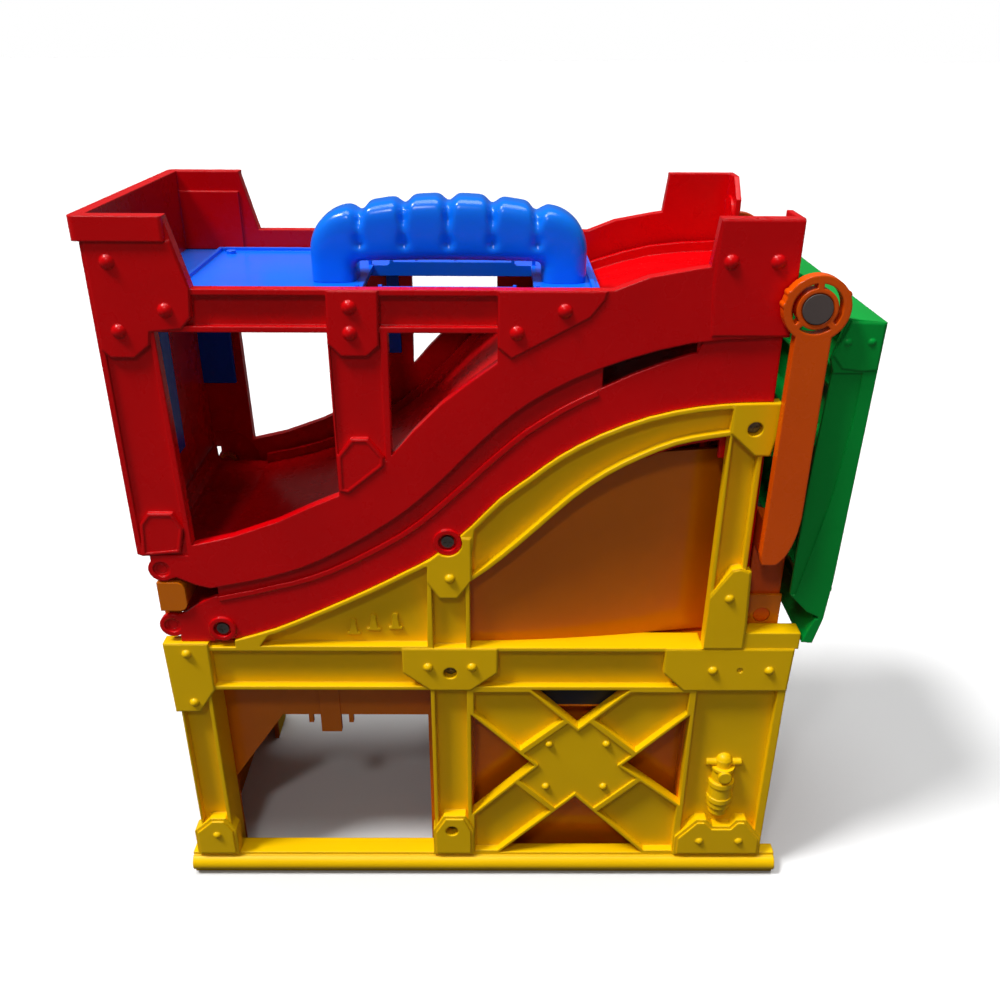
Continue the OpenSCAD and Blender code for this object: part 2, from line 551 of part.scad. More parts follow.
module core_half() {
    // left bay: panel with the doorway, set back behind the column's return
    side(bay_back_y, wall) difference() {
        rect(col_x1 - wall, mid_x0 + wall, 0, floor_z);
        polygon([for (s = door_shares) [col_x1 + (mid_x0 - col_x1) * s[0], -over + (floor_z + over) * s[1]]]);
    }
    // latch tongue and its two pegs
    latch_x = (col_x1 + mid_x0) / 2;
    side(bay_back_y - rivet_h, wall + rivet_h)
        rect(latch_x - latch_w / 2, latch_x + latch_w / 2, floor_z * door_shares[2][1] - latch_h, floor_z - over);
    for (k = [-1, 1]) side(bay_back_y, wall)
        rect(latch_x + k * latch_w - rivet_r / 2, latch_x + k * latch_w + rivet_r / 2,
            floor_z * door_shares[2][1] - latch_h / 2, floor_z - over);
    // ceiling of the left bay and floor of the upper level
    box([core_x0, bay_back_y, floor_z], [core_x1, -seam, z1]);
    box([mid_x0 + wall, core_y, floor_z], [core_x1, bay_back_y + fine, z1]);
    box([core_x0, core_y, z2 - 2 * wall], [core_lift_x, -seam, z2 - wall - fine]);
    // end wall and partitions
    box([core_x0, core_y, 0], [core_x0 + wall, -seam, z2 - wall]);
    box([mid_x0 + wall, core_y, 0], [mid_x0 + 2 * wall, -seam, z2 - wall]);
    box([core_lift_x - wall, core_y, floor_z], [core_lift_x, -seam, z2 - wall]);
    box([core_x1 - wall, core_y, 0], [core_x1, -seam, z1]);
    // right bay: panel below the gap, with the pilot hole of the frame's foot screw
    difference() {
        side(core_y, wall) rect(mid_x0 + wall, core_x1, 0, z1 - panel_drop);
        side(core_y - over, wall + 2 * over) rect(mid_x1 + rivet_h, right_x0 - rivet_h, -over, z1 - panel_drop - wall / 2);
        pilot(hub_screw);
    }
    side(core_y + pocket_in, wall) rect(mid_x1 + rivet_h - wall, right_x0 - rivet_h + wall, 0, z1 - panel_drop);
    side(core_y, pocket_in + wall) {
        rect(mid_x1 + rivet_h - wall, mid_x1 + rivet_h, 0, z1 - panel_drop);
        rect(right_x0 - rivet_h, right_x0 - rivet_h + wall, 0, z1 - panel_drop);
        rect(mid_x1, right_x0, z1 - panel_drop - wall / 2, z1 - panel_drop);
    }
    // curved window panel on the rail's ledge, below the ramp's floor
    intersection() {
        translate([0, 0, z2]) linear_extrude(height = panel_z1 - z2)
            polygon(concat(panel_pts, rev([for (p = panel_pts) p + [0, wall]])));
        side(core_y - over, body_d / 2) polygon(concat([[panel_x0 - over, z1], [panel_x1 + over, z1]],
            rev(lower_by(between(floor_line, panel_x0 - over, panel_x1 + over), wall + under_gap))));
    }
    // its foot, down to the upper level's floor
    box([panel_x0, core_y + arc_in, z2 - wall - fine], [panel_x1, core_y + arc_in + wall, z2 + fine]);
    // bearing cheeks of the lift
    for (y = [cheek_y - cheek_t, arm_in_y + arm_low_t + run_gap]) difference() {
        box([shaft_x - cheek_w / 2, y, z1 - fine], [shaft_x + cheek_w / 2, y + cheek_t, z2 + cheek_h]);
        bar(shaft_x, shaft_z, axle_r + play, y - over, y + cheek_t + over);
    }
}
seam = 0.1; // half the seam between the core's halves
module core_front() { color("darkorange") core_half(); }
module core_rear() { color("darkorange") rear() core_half(); }

// Blue panels in the gap above the right bay's orange panels
module bay_panels() {
    color("midnightblue") both() side(core_y, wall)
        rect(mid_x0 + 2 * wall, core_x1 - wall, z1 - panel_drop, floor_z);
}

// ---------------------------------------------------------------- red lower ramp
slot_shares = [0.708, 0.862]; // x of the dark slot's ends over the run
lip_gap = run_gap;
end_l = 18.7; // reach of the side walls' left ends past the parting line
low_end_shares = [[-0.93, -0.97], [-0.37, -0.57]];
low_left = [for (s = low_end_shares) [ramp_x0, ramp_z0] + end_l * s];
boss_r = 7.6; // radius of the round bosses at the fold axes
boss_in_r = 4.8; // radius of the recesses in them
low_edge = concat(low_left, between(groove_line, ramp_x0, ramp_x0 + ramp_run * slot_shares[1]));
low_edge_r = between(beside(part_line, same(part_line, -lip_gap)), ramp_x0 + ramp_run * slot_shares[1] + groove_w / 4,
    ramp_x1);
low_top = concat(low_edge, low_edge_r);
band_t = 3; // thickness of the step along the girder
girder_off = beside(girder_line, same(girder_line, run_gap));
girder_cut = concat([[upper_left_x - groove_w, girder_off[0][1]]], between(girder_off, upper_left_x + fine, ramp_x1));
tuck = 20; // how far the wall runs down behind the frames
low_left_x = fold_x + boss_r / 2;
low_bottom = z2 + rivet_h;

module low_outline() {
    // face above the girder's top flange
    polygon(concat([[low_left_x, fold_a_z - boss_r], [low_left_x, fold_a_z + boss_r - rivet_h]], low_top,
        [[ramp_x1, girder_cut[len(girder_cut) - 1][1]]], rev(girder_cut),
        [[upper_left_x - groove_w, z2 + top_gap + lip_gap], [low_left_x, z2 + top_gap + lip_gap]]));
    translate([fold_x, fold_a_z]) circle(r = boss_r);
}

function lower_by(p, d) = [for (q = p) [q[0], q[1] - d]];
floor_line = beside(part_line, [for (i = [0 : len(part_line) - 1]) -groove_at(i) - kerb_h]);
low_floor = between(floor_line, ramp_x0 - groove_w * 0 + rivet_r, ramp_x1 - wall);
tab_x = fold_x - rivet_r;
ear_y0 = low_in_y + run_gap; // outer face of the ears
ear_t = 3; // thickness of the ears
head_t = 1.5; // thickness of a pin's inner head
tab_y = ear_y0 + ear_t + head_t + 2 * run_gap; // the floor's tab stays inside the pins' heads
module ramp_lower() {
    color("red") {
        both() difference() {
            union() {
                // outer wall
                side(low_y, wall) low_outline();
                // step back along the girder and the part behind the frame
                side(low_y + wall - fine, frame_t - low_wall_set - wall + 2 * fine)
                    polygon(concat(girder_cut, rev(beside(girder_cut, same(girder_cut, band_t)))));
                side(frame_in_y, wall) difference() {
                    polygon(concat([[upper_left_x, z2 + rivet_h]], [for (p = girder_cut) if (p[0] >= upper_left_x)
                        p + [0, band_t]], [[ramp_x1, low_bottom + tuck], [post_x0 - flange_w, low_bottom + tuck]],
                        rev([for (p = between(under_line, mid_x1, post_x0 - flange_w)) p + [0, -tuck / 4]]),
                        [[mid_x1, z2 + rivet_h]]));
                    rect(panel_x0 - lip_gap, panel_x1, z2 - over, panel_z1 + lip_gap);
                }
                // set-back lip in the groove, open over the slot
                side(low_y + lip_gap + rivet_h, wall / 2) difference() {
                    polygon(concat(between(groove_line, ramp_x0 + rivet_r, ramp_x1),
                        rev(between(beside(part_line, same(part_line, -lip_gap)), ramp_x0 + rivet_r, ramp_x1))));
                    rect(ramp_x0 + ramp_run * slot_shares[0], ramp_x0 + ramp_run * slot_shares[1],
                        ramp_z0, wall_z);
                }
                // round screw bosses
                for (p = ramp_screw_at) bar(p[0], p[1], ring_out, low_y - boss_out, low_in_y + band_t);
                // kerb along the open edge of the wall
                side(low_y - kerb_out, kerb_out + fine) polygon(concat(between(groove_line, kerb_x0, kerb_x1),
                    rev(beside(between(groove_line, kerb_x0, kerb_x1), same(between(groove_line, kerb_x0, kerb_x1), -kerb_t)))));
            }
            for (p = ramp_screw_at) {
                bar(p[0], p[1], ring_in, low_y - boss_out - over, low_y + rivet_h);
                bar(p[0], p[1], shank_r + play, low_y, low_in_y + band_t + over);
            }
            // socket for the fold pin and pilot hole of the corner screw
            bar(fold_x, fold_a_z, pin_r, low_y - over, low_in_y + over);
            bar(fold_x, fold_a_z, boss_in_r, low_y - over, low_y + rivet_h);
            pilot(corner_screw);
        }
        // ramp floor
        translate([0, 0, 0]) side(low_in_y - fine, -2 * (low_in_y - fine))
            polygon(concat(low_floor, rev(lower_by(low_floor, wall))));
        side(tab_y, -2 * tab_y) polygon([[tab_x, low_floor[0][1] - rivet_h - wall],
            [low_floor[0][0] + rivet_r, low_floor[0][1] - wall], [low_floor[0][0] + rivet_r, low_floor[0][1]],
            [tab_x, low_floor[0][1] - rivet_h]]);
        // end wall and ribs under the floor
        box([ramp_x1 - wall, low_in_y - fine, z2 + rivet_h], [ramp_x1, -low_in_y + fine, low_floor[len(low_floor) - 1][1]]);
    }
}
ring_drop = 28.8; // left screw boss below the parting line
ramp_screw_at = [[ramp_x0 + ramp_run * 0.01, ramp_z0 - ring_drop], knee_screw];
boss_out = 1.6; // how far the screw bosses stand out of the wall
ring_in = 5.2; // radius of the recess in a screw boss
kerb_out = 0.7; // how far the kerb stands out of the wall
kerb_t = 3.2; // width of the kerb
kerb_x0 = ramp_x0 + rivet_r;
kerb_x1 = ramp_x0 + ramp_run * slot_shares[0] - rivet_r;

// ---------------------------------------------------------------- fold link and pins
link_out = 4.5; // reach of the link's bar to the left of the fold axes
link_in = 11.4; // its reach to the right
link_low = 11.5; // its underside above the lower axis
link_high = 9; // its top below the upper axis
link_x0 = fold_x - link_out;
link_x1 = fold_x + link_in;
link_z0 = fold_a_z + link_low;
link_z1 = fold_b_z - link_high;
link_r = 3; // half width of the link's ears over the pins
link_round = 5; // rounding of the link's inner corners
module fold_link() {
    color("darkorange") {
        difference() {
            union() {
                side(face_y, body_d) {
                    rect(link_x0, link_x1 - link_round, link_z0, link_z1);
                    rect(link_x0, link_x1, link_z0 + link_round, link_z1 - link_round);
                    for (z = [link_z0 + link_round, link_z1 - link_round])
                        translate([link_x1 - link_round, z]) circle(r = link_round);
                }
                both() side(ear_y0, ear_t) {
                    rect(fold_x - link_r - pin_r / 2, fold_x + link_r + pin_r / 2, fold_a_z, fold_b_z);
                    translate([fold_x, fold_a_z]) circle(r = pin_r + 2 * ear_t / 2);
                    translate([fold_x, fold_b_z]) circle(r = pin_r + 2 * ear_t / 2);
                }
            }
            for (z = [fold_a_z, fold_b_z]) both() bar(fold_x, z, pin_r + play, ear_y0 - over, ear_y0 + ear_t + over);
        }
    }
}
module pin_at(z, y) {
    bar(fold_x, z, pin_r, y, ear_y0 + ear_t + run_gap + fine);
    bar(fold_x, z, pin_r + rivet_h, ear_y0 + ear_t + run_gap, ear_y0 + ear_t + run_gap + head_t);
}
module fold_pins_lower() { color("red") both() pin_at(fold_a_z, low_y + rivet_h); }
module fold_pins_upper() { color("red") both() pin_at(fold_b_z, face_y + rivet_h); }

// ---------------------------------------------------------------- screws
module screw_at(p, y, len) {
    difference() {
        union() {
            bar(p[0], p[1], screw_r, y, y + rivet_h * 1.6);
            bar(p[0], p[1], shank_r, y + rivet_h, y + len);
        }
        for (a = [0, 90]) translate([p[0], y, p[1]]) rotate([0, a, 0])
            cube([screw_r * 1.3, rivet_h, screw_r * 0.3], center = true);
    }
}
module frame_screws_front() { color("silver") for (p = frame_screws) screw_at(p, face_y + screw_in - rivet_h * 0.6, frame_t); }
module frame_screws_rear() { color("silver") rear() for (p = frame_screws) screw_at(p, face_y + screw_in - rivet_h * 0.6, frame_t); }
module ramp_screws() { color("silver") both() for (p = ramp_screw_at) screw_at(p, low_y - rivet_h * 0.6, wall + band_t); }

// ---------------------------------------------------------------- red upper shell
shoulder_out = 9.2; // slant of the left tower's inner edge
rise_l = 50; // length of the parapet's rise to the right tower
rise_h = 12; // its height
tower_l_x1 = base_x0 + tower_l_w;
tower_r_x0 = tower_x1 - tower_r_w;
foot_z = fold_b_z + boss_r + run_gap + rivet_h; // underside of the left end wall
up_end_shares = [[-1, 0.39], [-0.44, 0.118]];
up_foot = [for (s = up_end_shares) [ramp_x0, ramp_z0] + end_l * s];
up_edge = concat(up_foot, part_line);
module upper_outline() {
    polygon(concat([[base_x0, foot_z + rivet_h], [base_x0 + rivet_r, foot_z],
        [fold_x - boss_r * 0.7, foot_z], [fold_x - boss_r * 0.7, fold_b_z], [fold_x, fold_b_z - boss_r + fine]],
        up_edge, [[tower_x1, ramp_z1], [tower_x1, total_h], [tower_r_x0, total_h],
        [tower_r_x0 - rivet_r, wall_z + rise_h], [tower_x1 - tower_r_w - rivet_r * 3.3, wall_z + rise_h - rivet_h],
        [tower_r_x0 - rise_l * 0.66, wall_z + rise_h * 0.55], [tower_r_x0 - rise_l, wall_z],
        [tower_l_x1 + shoulder_out, wall_z], [tower_l_x1, total_h], [base_x0, total_h]]));
    translate([fold_x, fold_b_z]) circle(r = boss_r);
}
// Windows, as shares of the ramp's run and rise
win_top_drop = 22; // window tops below the parapet's edge
win_l_shares = [[-0.022, 0.187], [0.052, 0.223], [0.138, 0.288], [0.196, 0.346], [0.252, 0.397]];
win_r_shares = [[0.348, 0.5575], [0.387, 0.65], [0.437, 0.755], [0.486, 0.836], [0.531, 0.905]];
function on_ramp(s) = [ramp_x0 + ramp_run * s[0], ramp_z0 + ramp_rise * s[1]];
win_l = [for (s = win_l_shares) on_ramp(s)];
win_r = [for (s = win_r_shares) on_ramp(s)];
module upper_windows() {
    polygon(concat(win_l, [[win_l[4][0], wall_z - win_top_drop], [win_l[0][0] - shoulder_out / 4, wall_z - win_top_drop]]));
    polygon(concat(win_r, [[win_r[4][0], wall_z - win_top_drop], [win_r[0][0] + rivet_h, wall_z - win_top_drop]]));
}
pocket_l_shares = [[-0.115, 0.143], [-0.044, 0.157], [-0.032, 0.261], [-0.048, 0.325], [-0.092, 0.325], [-0.109, 0.281]];
pocket_m_shares = [[0.253, 0.416], [0.269, 0.407], [0.334, 0.518], [0.335, 0.554], [0.309, 0.625], [0.28, 0.625],
    [0.254, 0.558]];
pocket_l = [for (s = pocket_l_shares) on_ramp(s)];
pocket_m = [for (s = pocket_m_shares) on_ramp(s)];
pocket_edge = 2; // width of the raised rims round the pockets at the pillars' feet
gus_drop = 38; // height of the corner gusset at the left tower
gus_l_shares = [[0.03, 1.63], [0.03, 0.17], [0.11, 0.06], [0.35, 0.06], [0.52, 0.24], [0.545, 0.42], [0.86, 0.46],
    [0.97, 0.62], [1, 1], [0.87, 1.63]];
gus_l = at(base_x0, wall_z - gus_drop, tower_l_w + shoulder_out, gus_drop, gus_l_shares);
strap_h = 34.5; // height of the strap over the middle pillar
strap_shares = [[0.03, 1], [0, 0.2], [0.22, 0], [0.66, 0], [0.88, 0.17], [0.91, 1]];
strap = at(win_l[4][0], wall_z - strap_h, win_r[0][0] - win_l[4][0], strap_h, strap_shares);
bracket_w = 55; // width of the long gusset right of the windows
bracket_h = 35.5; // its height
bracket_shares = [[0, 1], [0, 0.17], [0.13, 0], [0.85, 0.61], [0.98, 0.87], [1, 1]];
bracket = at(win_r[4][0], wall_z - bracket_h, bracket_w, bracket_h, bracket_shares);
module upper_plates() {
    polygon(gus_l);
    polygon(strap);
    polygon(bracket);
    polygon(pocket_l);
    polygon(pocket_m);
}
module upper_webs() {
    difference() {
        rect(tower_l_x1, win_r[4][0] + up_flange, wall_z - win_top_drop + up_flange, wall_z - up_flange);
        upper_plates();
    }
}
// Shallow webs of the pillars
pillar_in = 1.4;
module pillar_webs() {
    difference() {
        union() {
            polygon([[base_x0 + up_flange, pocket_l[0][1]], [win_l[0][0] - up_flange, pocket_l[0][1]],
                [win_l[0][0] - shoulder_out / 4 - up_flange, wall_z], [base_x0 + up_flange, wall_z]]);
            rect(win_l[4][0] + rivet_h, win_r[0][0] - up_flange, win_r[0][1] - up_flange, wall_z - win_top_drop);
        }
        upper_plates();
    }
}
upper_rivet_shares = [[-0.085, 0.993 + 0.252], [-0.005, 1.085], [-0.085, 1.013], [0.291, 1.098], [0.29, 1.009],
    [0.563, 1.012], [0.64, 1.088], [0.9, 1.253], [0.974, 1.254]];
rim_r = 4; // rounding of the rim's corners in plan
module plan_round(x_a, x_b, y_a, y_b, r) {
    translate([x_a + r, y_a]) square([x_b - x_a - 2 * r, y_b - y_a]);
    translate([x_a, y_a + r]) square([x_b - x_a, y_b - y_a - 2 * r]);
    for (x = [x_a + r, x_b - r]) for (y = [y_a + r, y_b - r]) translate([x, y]) circle(r = r);
}
return_rear = 30; // depth of the rear return wall
disc_r = 11; // radius of the raised disc on the rear return
disc_t = 1.2; // its thickness
ledge_t = 0.8; // thickness of the ledge inside the left tower
tower_plate = at(tower_r_x0 - rivet_h, ramp_z1 + run_gap, tower_r_w + rivet_h, total_h - ramp_z1 - 2 * run_gap,
    [[0.04, 0], [1.05, 0], [1.05, 1], [0.02, 1], [0, 0.42]]);
module upper_shell() {
    color("red") difference() {
        union() {
            both() difference() {
                union() {
                    side(face_y, upper_t) upper_outline();
                    for (t = [gus_l, strap, bracket, pocket_l, pocket_m, tower_plate]) plate(t, face_y, plate_out);
                    // ledge inside the left tower's walls
                    side(up_in_y - fine, ledge_t) rect(base_x0 + fine, tower_l_x1 - rivet_h, deck_z + run_gap,
                        total_h - rim_h);
                }
                side(face_y - over, upper_t + 2 * over) upper_windows();
                side(face_y - over, upper_in + over) upper_webs();
                side(face_y - over, pillar_in + over) pillar_webs();
                side(face_y - over, over - run_gap) for (t = [pocket_l, pocket_m]) polygon(inset(t, pocket_edge));
                bar(fold_x, fold_b_z, pin_r, face_y - over, up_in_y + over);
                bar(fold_x, fold_b_z, boss_in_r, face_y - over, face_y + rivet_h);
                // room for the fold link's ears behind the bosses
                side(face_y + wall, upper_t) translate([fold_x, fold_b_z]) circle(r = link_l / 2 + ear_t);
            }
            // left end wall
            box([base_x0, face_y + fine, foot_z + rivet_h], [base_x0 + wall, -face_y - fine, total_h]);
            // rim round the left tower
            translate([0, 0, total_h - rim_h]) linear_extrude(height = rim_h) difference() {
                plan_round(base_x0 - rim_out, tower_l_x1, face_y - rim_t, -face_y + rim_t, rim_r);
                translate([base_x0 + wall, -body_d]) square([base_w, 2 * body_d]);
            }
            both() translate([0, 0, total_h - rim_h]) linear_extrude(height = rim_h)
                plan_round(base_x0 + wall - rim_r, tower_l_x1 + rivet_h / 2, face_y - rim_t, up_in_y, rim_r / 2);
            both() for (s = upper_rivet_shares) let (p = on_ramp(s)) rivet(p[0], p[1], face_y - plate_out, rivet_up_r);
            // return walls beside the car entrance
            box([tower_x1 - wall, face_y + fine, ramp_z1 + run_gap], [tower_x1, face_y + return_d, total_h]);
            rear() side_return();
            // round seat for a toy lamp on the rear return's inner side
            translate([tower_x1 - wall - disc_t, -face_y - return_rear / 2, total_h - rim_h - disc_r]) rotate([0, 90, 0])
                cylinder(r = disc_r, h = disc_t + fine);
        }
        // flat outer side on the right
        box([tower_x1, -body_d, 0], [tower_x1 + base_w, body_d, 2 * total_h]);
    }
}
module side_return() {
    translate([tower_x1 - wall, 0, 0]) rotate([90, 0, 90]) linear_extrude(height = wall)
        polygon([[face_y + fine, ramp_z1 + run_gap], [face_y + return_rear, ramp_z1 + run_gap],
            [face_y + return_rear, total_h - rim_h], [face_y + return_rear - rim_h, total_h], [face_y + fine, total_h]]);
}

// Floor of the upper ramp: it lies over the parting line and becomes the lower end of the drive when unfolded
rise_in = 10; // height of the floor above the parting line
lane_in = 3; // distance of the kerbs from the walls
lane_w = 3.5; // width of the kerbs
lane_h = 6; // height of the kerbs
curl_w = 8; // reach of the floor's turned-up end past the fold axis
curl_h = 14; // its height
up_floor = between(beside(part_line, same(part_line, rise_in)), ramp_x0 + rivet_r, ramp_x1 - wall);
curl_pts = at(fold_x - curl_w, up_floor[0][1] + rivet_h, curl_w, curl_h,
    [[1, 0], [0.5, 0], [0, 0.36], [0, 1], [0.3, 1], [0.33, 0.5], [0.62, 0.26], [1, 0.22]]);
module upper_ramp() {
    color("red") {
        side(up_in_y, -2 * up_in_y) polygon(concat(up_floor, rev(lower_by(up_floor, -wall))));
        side(tab_y, -2 * tab_y) polygon(curl_pts);
        // kerbs along both sides of the lane
        both() side(up_in_y + lane_in, lane_w) polygon(concat(up_floor, rev(lower_by(up_floor, -wall - lane_h))));
        side(tab_y, -2 * tab_y) polygon([[tab_x, up_floor[0][1] + rivet_h], [up_floor[0][0] + rivet_r, up_floor[0][1]],
            [up_floor[0][0] + rivet_r, up_floor[0][1] + wall], [tab_x, up_floor[0][1] + rivet_h + wall]]);
    }
}

// ---------------------------------------------------------------- blue deck and handle
deck_x0 = base_x0 + wall;
deck_x1 = tower_r_x0 - rise_l - rivet_h;
deck_t = 3; // thickness of the deck
deck_y = up_in_y;
handle_x = mid_x + rivet_h / 3;
gap_in = 2.25; // gap between the finger opening and the handle's legs
gap_w = handle_l - 2 * grip_t - 2 * gap_in;
beam_t = 2.5; // thickness of the beams along the finger opening
beam_low = 6.5; // how far they reach below the deck
beam_half = 55; // half their length
beam_shares = [-0.9, -0.67, 0.67, 0.9]; // places of the posts on them
beam_pts_shares = [[0, 0.5], [0.05, 0], [0.95, 0], [1, 0.5], [1, 0.7], [0.86, 0.74], [0.83, 1], [0.17, 1], [0.14, 0.74],
    [0, 0.7]];
rib_h = 2; // height of the ridges on the deck
rib_w = 2.5; // their width
leg_w = 22; // width of the deck's corner legs
leg_l = 90; // length of the deck's corner legs
strip_w = 15; // width of the strip on the left end wall
strip_l = 110; // its length
clip_in = 14.4; // distance of the clips from the left window
clip_w = 8; // width of the clip on the rear mid post
clip_l = 68; // its length
module deck() {
    color("royalblue") {
        difference() {
            union() {
                box([deck_x0, deck_y, deck_z - deck_t], [deck_x1, -deck_y, deck_z]);
                // border ridges
                both() box([deck_x0 + leg_w, deck_y + rib_w, deck_z - fine], [deck_x1 - rib_w, deck_y + 2 * rib_w, deck_z + rib_h]);
                box([deck_x1 - 2 * rib_w, deck_y + rib_w, deck_z - fine], [deck_x1 - rib_w, -deck_y - rib_w, deck_z + rib_h]);
                box([deck_x0 + leg_w, deck_y + rib_w, deck_z - fine], [deck_x0 + leg_w + rib_w, -deck_y - rib_w, deck_z + rib_h]);
                // parking ridges beside the handle
                both() for (k = [1 : 3]) translate([handle_x - gap_w / 2 + gap_w * k / 4, 0, 0])
                    box([-rib_w / 2, hand_gap / 2 + rib_w, deck_z - fine], [rib_w / 2, -deck_y - rib_w, deck_z + rib_h]);
                // corner brackets
                both() translate([deck_x0 + leg_w + rib_w, deck_y + 2 * rib_w, deck_z - fine]) rotate([0, 0, -45])
                    translate([-fine, -rib_w, 0]) cube([fine + rivet_h, 2 * rib_w, rib_h]);
                both() translate([deck_x0 + leg_w + 4 * rib_w, deck_y + 5 * rib_w, deck_z - fine])
                    cylinder(r = rivet_r, h = rib_h);
            }
            // finger opening
            box([handle_x - gap_w / 2, -hand_gap / 2, deck_z - deck_t - over],
                [handle_x + gap_w / 2, hand_gap / 2, deck_z + rib_h + over]);
            // holes for the handle's screws
            for (x = handle_screw_x) translate([x, 0, deck_z - deck_t - over])
                cylinder(r = shank_r + play, h = deck_t + 2 * over);
        }
        // beams with chamfered ends and small posts along the finger opening
        both() {
            side(-hand_gap / 2 - beam_t, beam_t) polygon(at(handle_x - beam_half, deck_z - beam_low, 2 * beam_half,
                beam_low + rib_h, beam_pts_shares));
            for (k = beam_shares) box([handle_x + beam_half * k - rivet_h, -hand_gap / 2 - beam_t + rivet_h / 2, deck_z - rib_h],
                [handle_x + beam_half * k + rivet_h, -hand_gap / 2 - fine, deck_z + rib_h + rivet_h]);
        }
        // legs against the left end wall and the corners
        both() box([deck_x0, deck_y, deck_z - leg_l], [deck_x0 + leg_w, deck_y + deck_t, deck_z - deck_t + fine]);
        box([deck_x0, -strip_w / 2, deck_z - strip_l], [deck_x0 + deck_t, strip_w / 2, deck_z - deck_t + fine]);
        both() box([win_l[4][0] + clip_in, deck_y, deck_z - clip_l],
            [win_l[4][0] + clip_in + clip_w, deck_y + deck_t, deck_z - deck_t + fine]);
    }
}

// Handle: a tube swept over an arch, drawn in between the fingers
handle_screw_x = [handle_x - handle_l / 2 + grip_t / 2, handle_x + handle_l / 2 - grip_t / 2];
// The section runs from the outer loop to the inner one; both climb a leg, turn a corner and cross the span
outer_r = 24; // radius of the outer shoulders
inner_r = 4; // radius of the inner corners
grip_n = 24;
run_n = 72;
bend_n = 9;
crown = 6; // how far the outer loop falls from its middle to the shoulders
inner_crown = 0.5;
leg_share = 0.12;
bend_share = 0.3;
// Point of a loop at the share t from the foot (0) over mid span (0.5) to the other foot (1)
function loop_pt(t, half, top, r, drop) = t > 0.5 ? let (q = loop_pt(1 - t, half, top, r, drop)) [-q[0], q[1]]
    : 2 * t < leg_share ? [-half, deck_z + (top - drop - r - deck_z) * 2 * t / leg_share]
    : 2 * t < leg_share + bend_share
        ? let (a = 90 * (2 * t - leg_share) / bend_share) [-half + r * (1 - cos(a)), top - drop - r + r * sin(a)]
        : let (u = (2 * t - leg_share - bend_share) / (1 - leg_share - bend_share))
            [-(half - r) * (1 - u), top - drop * (1 - u) * (1 - u)];
finger_l = (handle_l - 2 * grip_t + 2 * rivet_h) / 4; // width of a finger's lobe
fade_share = 0.35; // the grooves fade out over this share below the section's middle
function fade(c) = c > 0 ? 1 : c < -fade_share ? 0 : 1 + c / fade_share;
function groove_depth(x, c) = abs(x) > 2.4 * finger_l ? 0
    : fade(c) * finger_in * pow(abs(cos(180 * x / finger_l)), 8 + 14 * (1 - max(c, 0)));
grip_rings = concat([for (i = [0 : 2]) i / 2 * leg_share / 2],
    [for (i = [1 : bend_n]) leg_share / 2 + bend_share / 2 * i / bend_n],
    [for (i = [1 : run_n]) (leg_share + bend_share) / 2 + (1 - leg_share - bend_share) * i / run_n],
    [for (i = [1 : bend_n]) 1 - (leg_share + bend_share) / 2 + bend_share / 2 * i / bend_n],
    [for (i = [1 : 2]) 1 - leg_share / 2 + leg_share / 2 * i / 2]);
function grip_ring(i) = let (t = grip_rings[i],
    o = loop_pt(t, handle_l / 2, deck_z + handle_h, outer_r, crown),
    n = loop_pt(t, handle_l / 2 - grip_t, deck_z + handle_h - span_t, inner_r, inner_crown),
    c = (o + n) / 2, u = (o - n) / 2)
    [for (k = [0 : grip_n - 1]) let (a = 360 * k / grip_n, w = sgn_pow(cos(a)), p = c + w * u,
        g = groove_depth(p[0], cos(a)), q = c + w * (norm(u) - g) / norm(u) * u)
        [handle_x + q[0], (grip_d / 2 - g) * sgn_pow(sin(a)), q[1]]];
function sgn_pow(c) = sign(c) * pow(abs(c), 0.52);
module handle() {
    m = len(grip_rings);
    color("royalblue") difference() {
        polyhedron(points = [for (i = [0 : m - 1]) for (q = grip_ring(i)) q],
            faces = concat([[for (k = [grip_n - 1 : -1 : 0]) k]], [[for (k = [0 : grip_n - 1]) (m - 1) * grip_n + k]],
            [for (i = [0 : m - 2]) for (k = [0 : grip_n - 1]) each
                [[i * grip_n + k, i * grip_n + (k + 1) % grip_n, (i + 1) * grip_n + (k + 1) % grip_n],
                [i * grip_n + k, (i + 1) * grip_n + (k + 1) % grip_n, (i + 1) * grip_n + k]]]), convexity = 6);
        for (x = handle_screw_x) translate([x, 0, deck_z - over]) cylinder(r = shank_r, h = screw_l + over);
    }
}
screw_l = 12; // length of the handle's screws in its feet
module handle_screws() {
    color("silver") for (x = handle_screw_x) translate([x, 0, deck_z]) {
        translate([0, 0, -deck_t - 1.6 * rivet_h]) cylinder(r = screw_r, h = 1.6 * rivet_h);
        translate([0, 0, -deck_t - rivet_h]) cylinder(r = shank_r, h = deck_t + rivet_h + screw_l);
    }
}

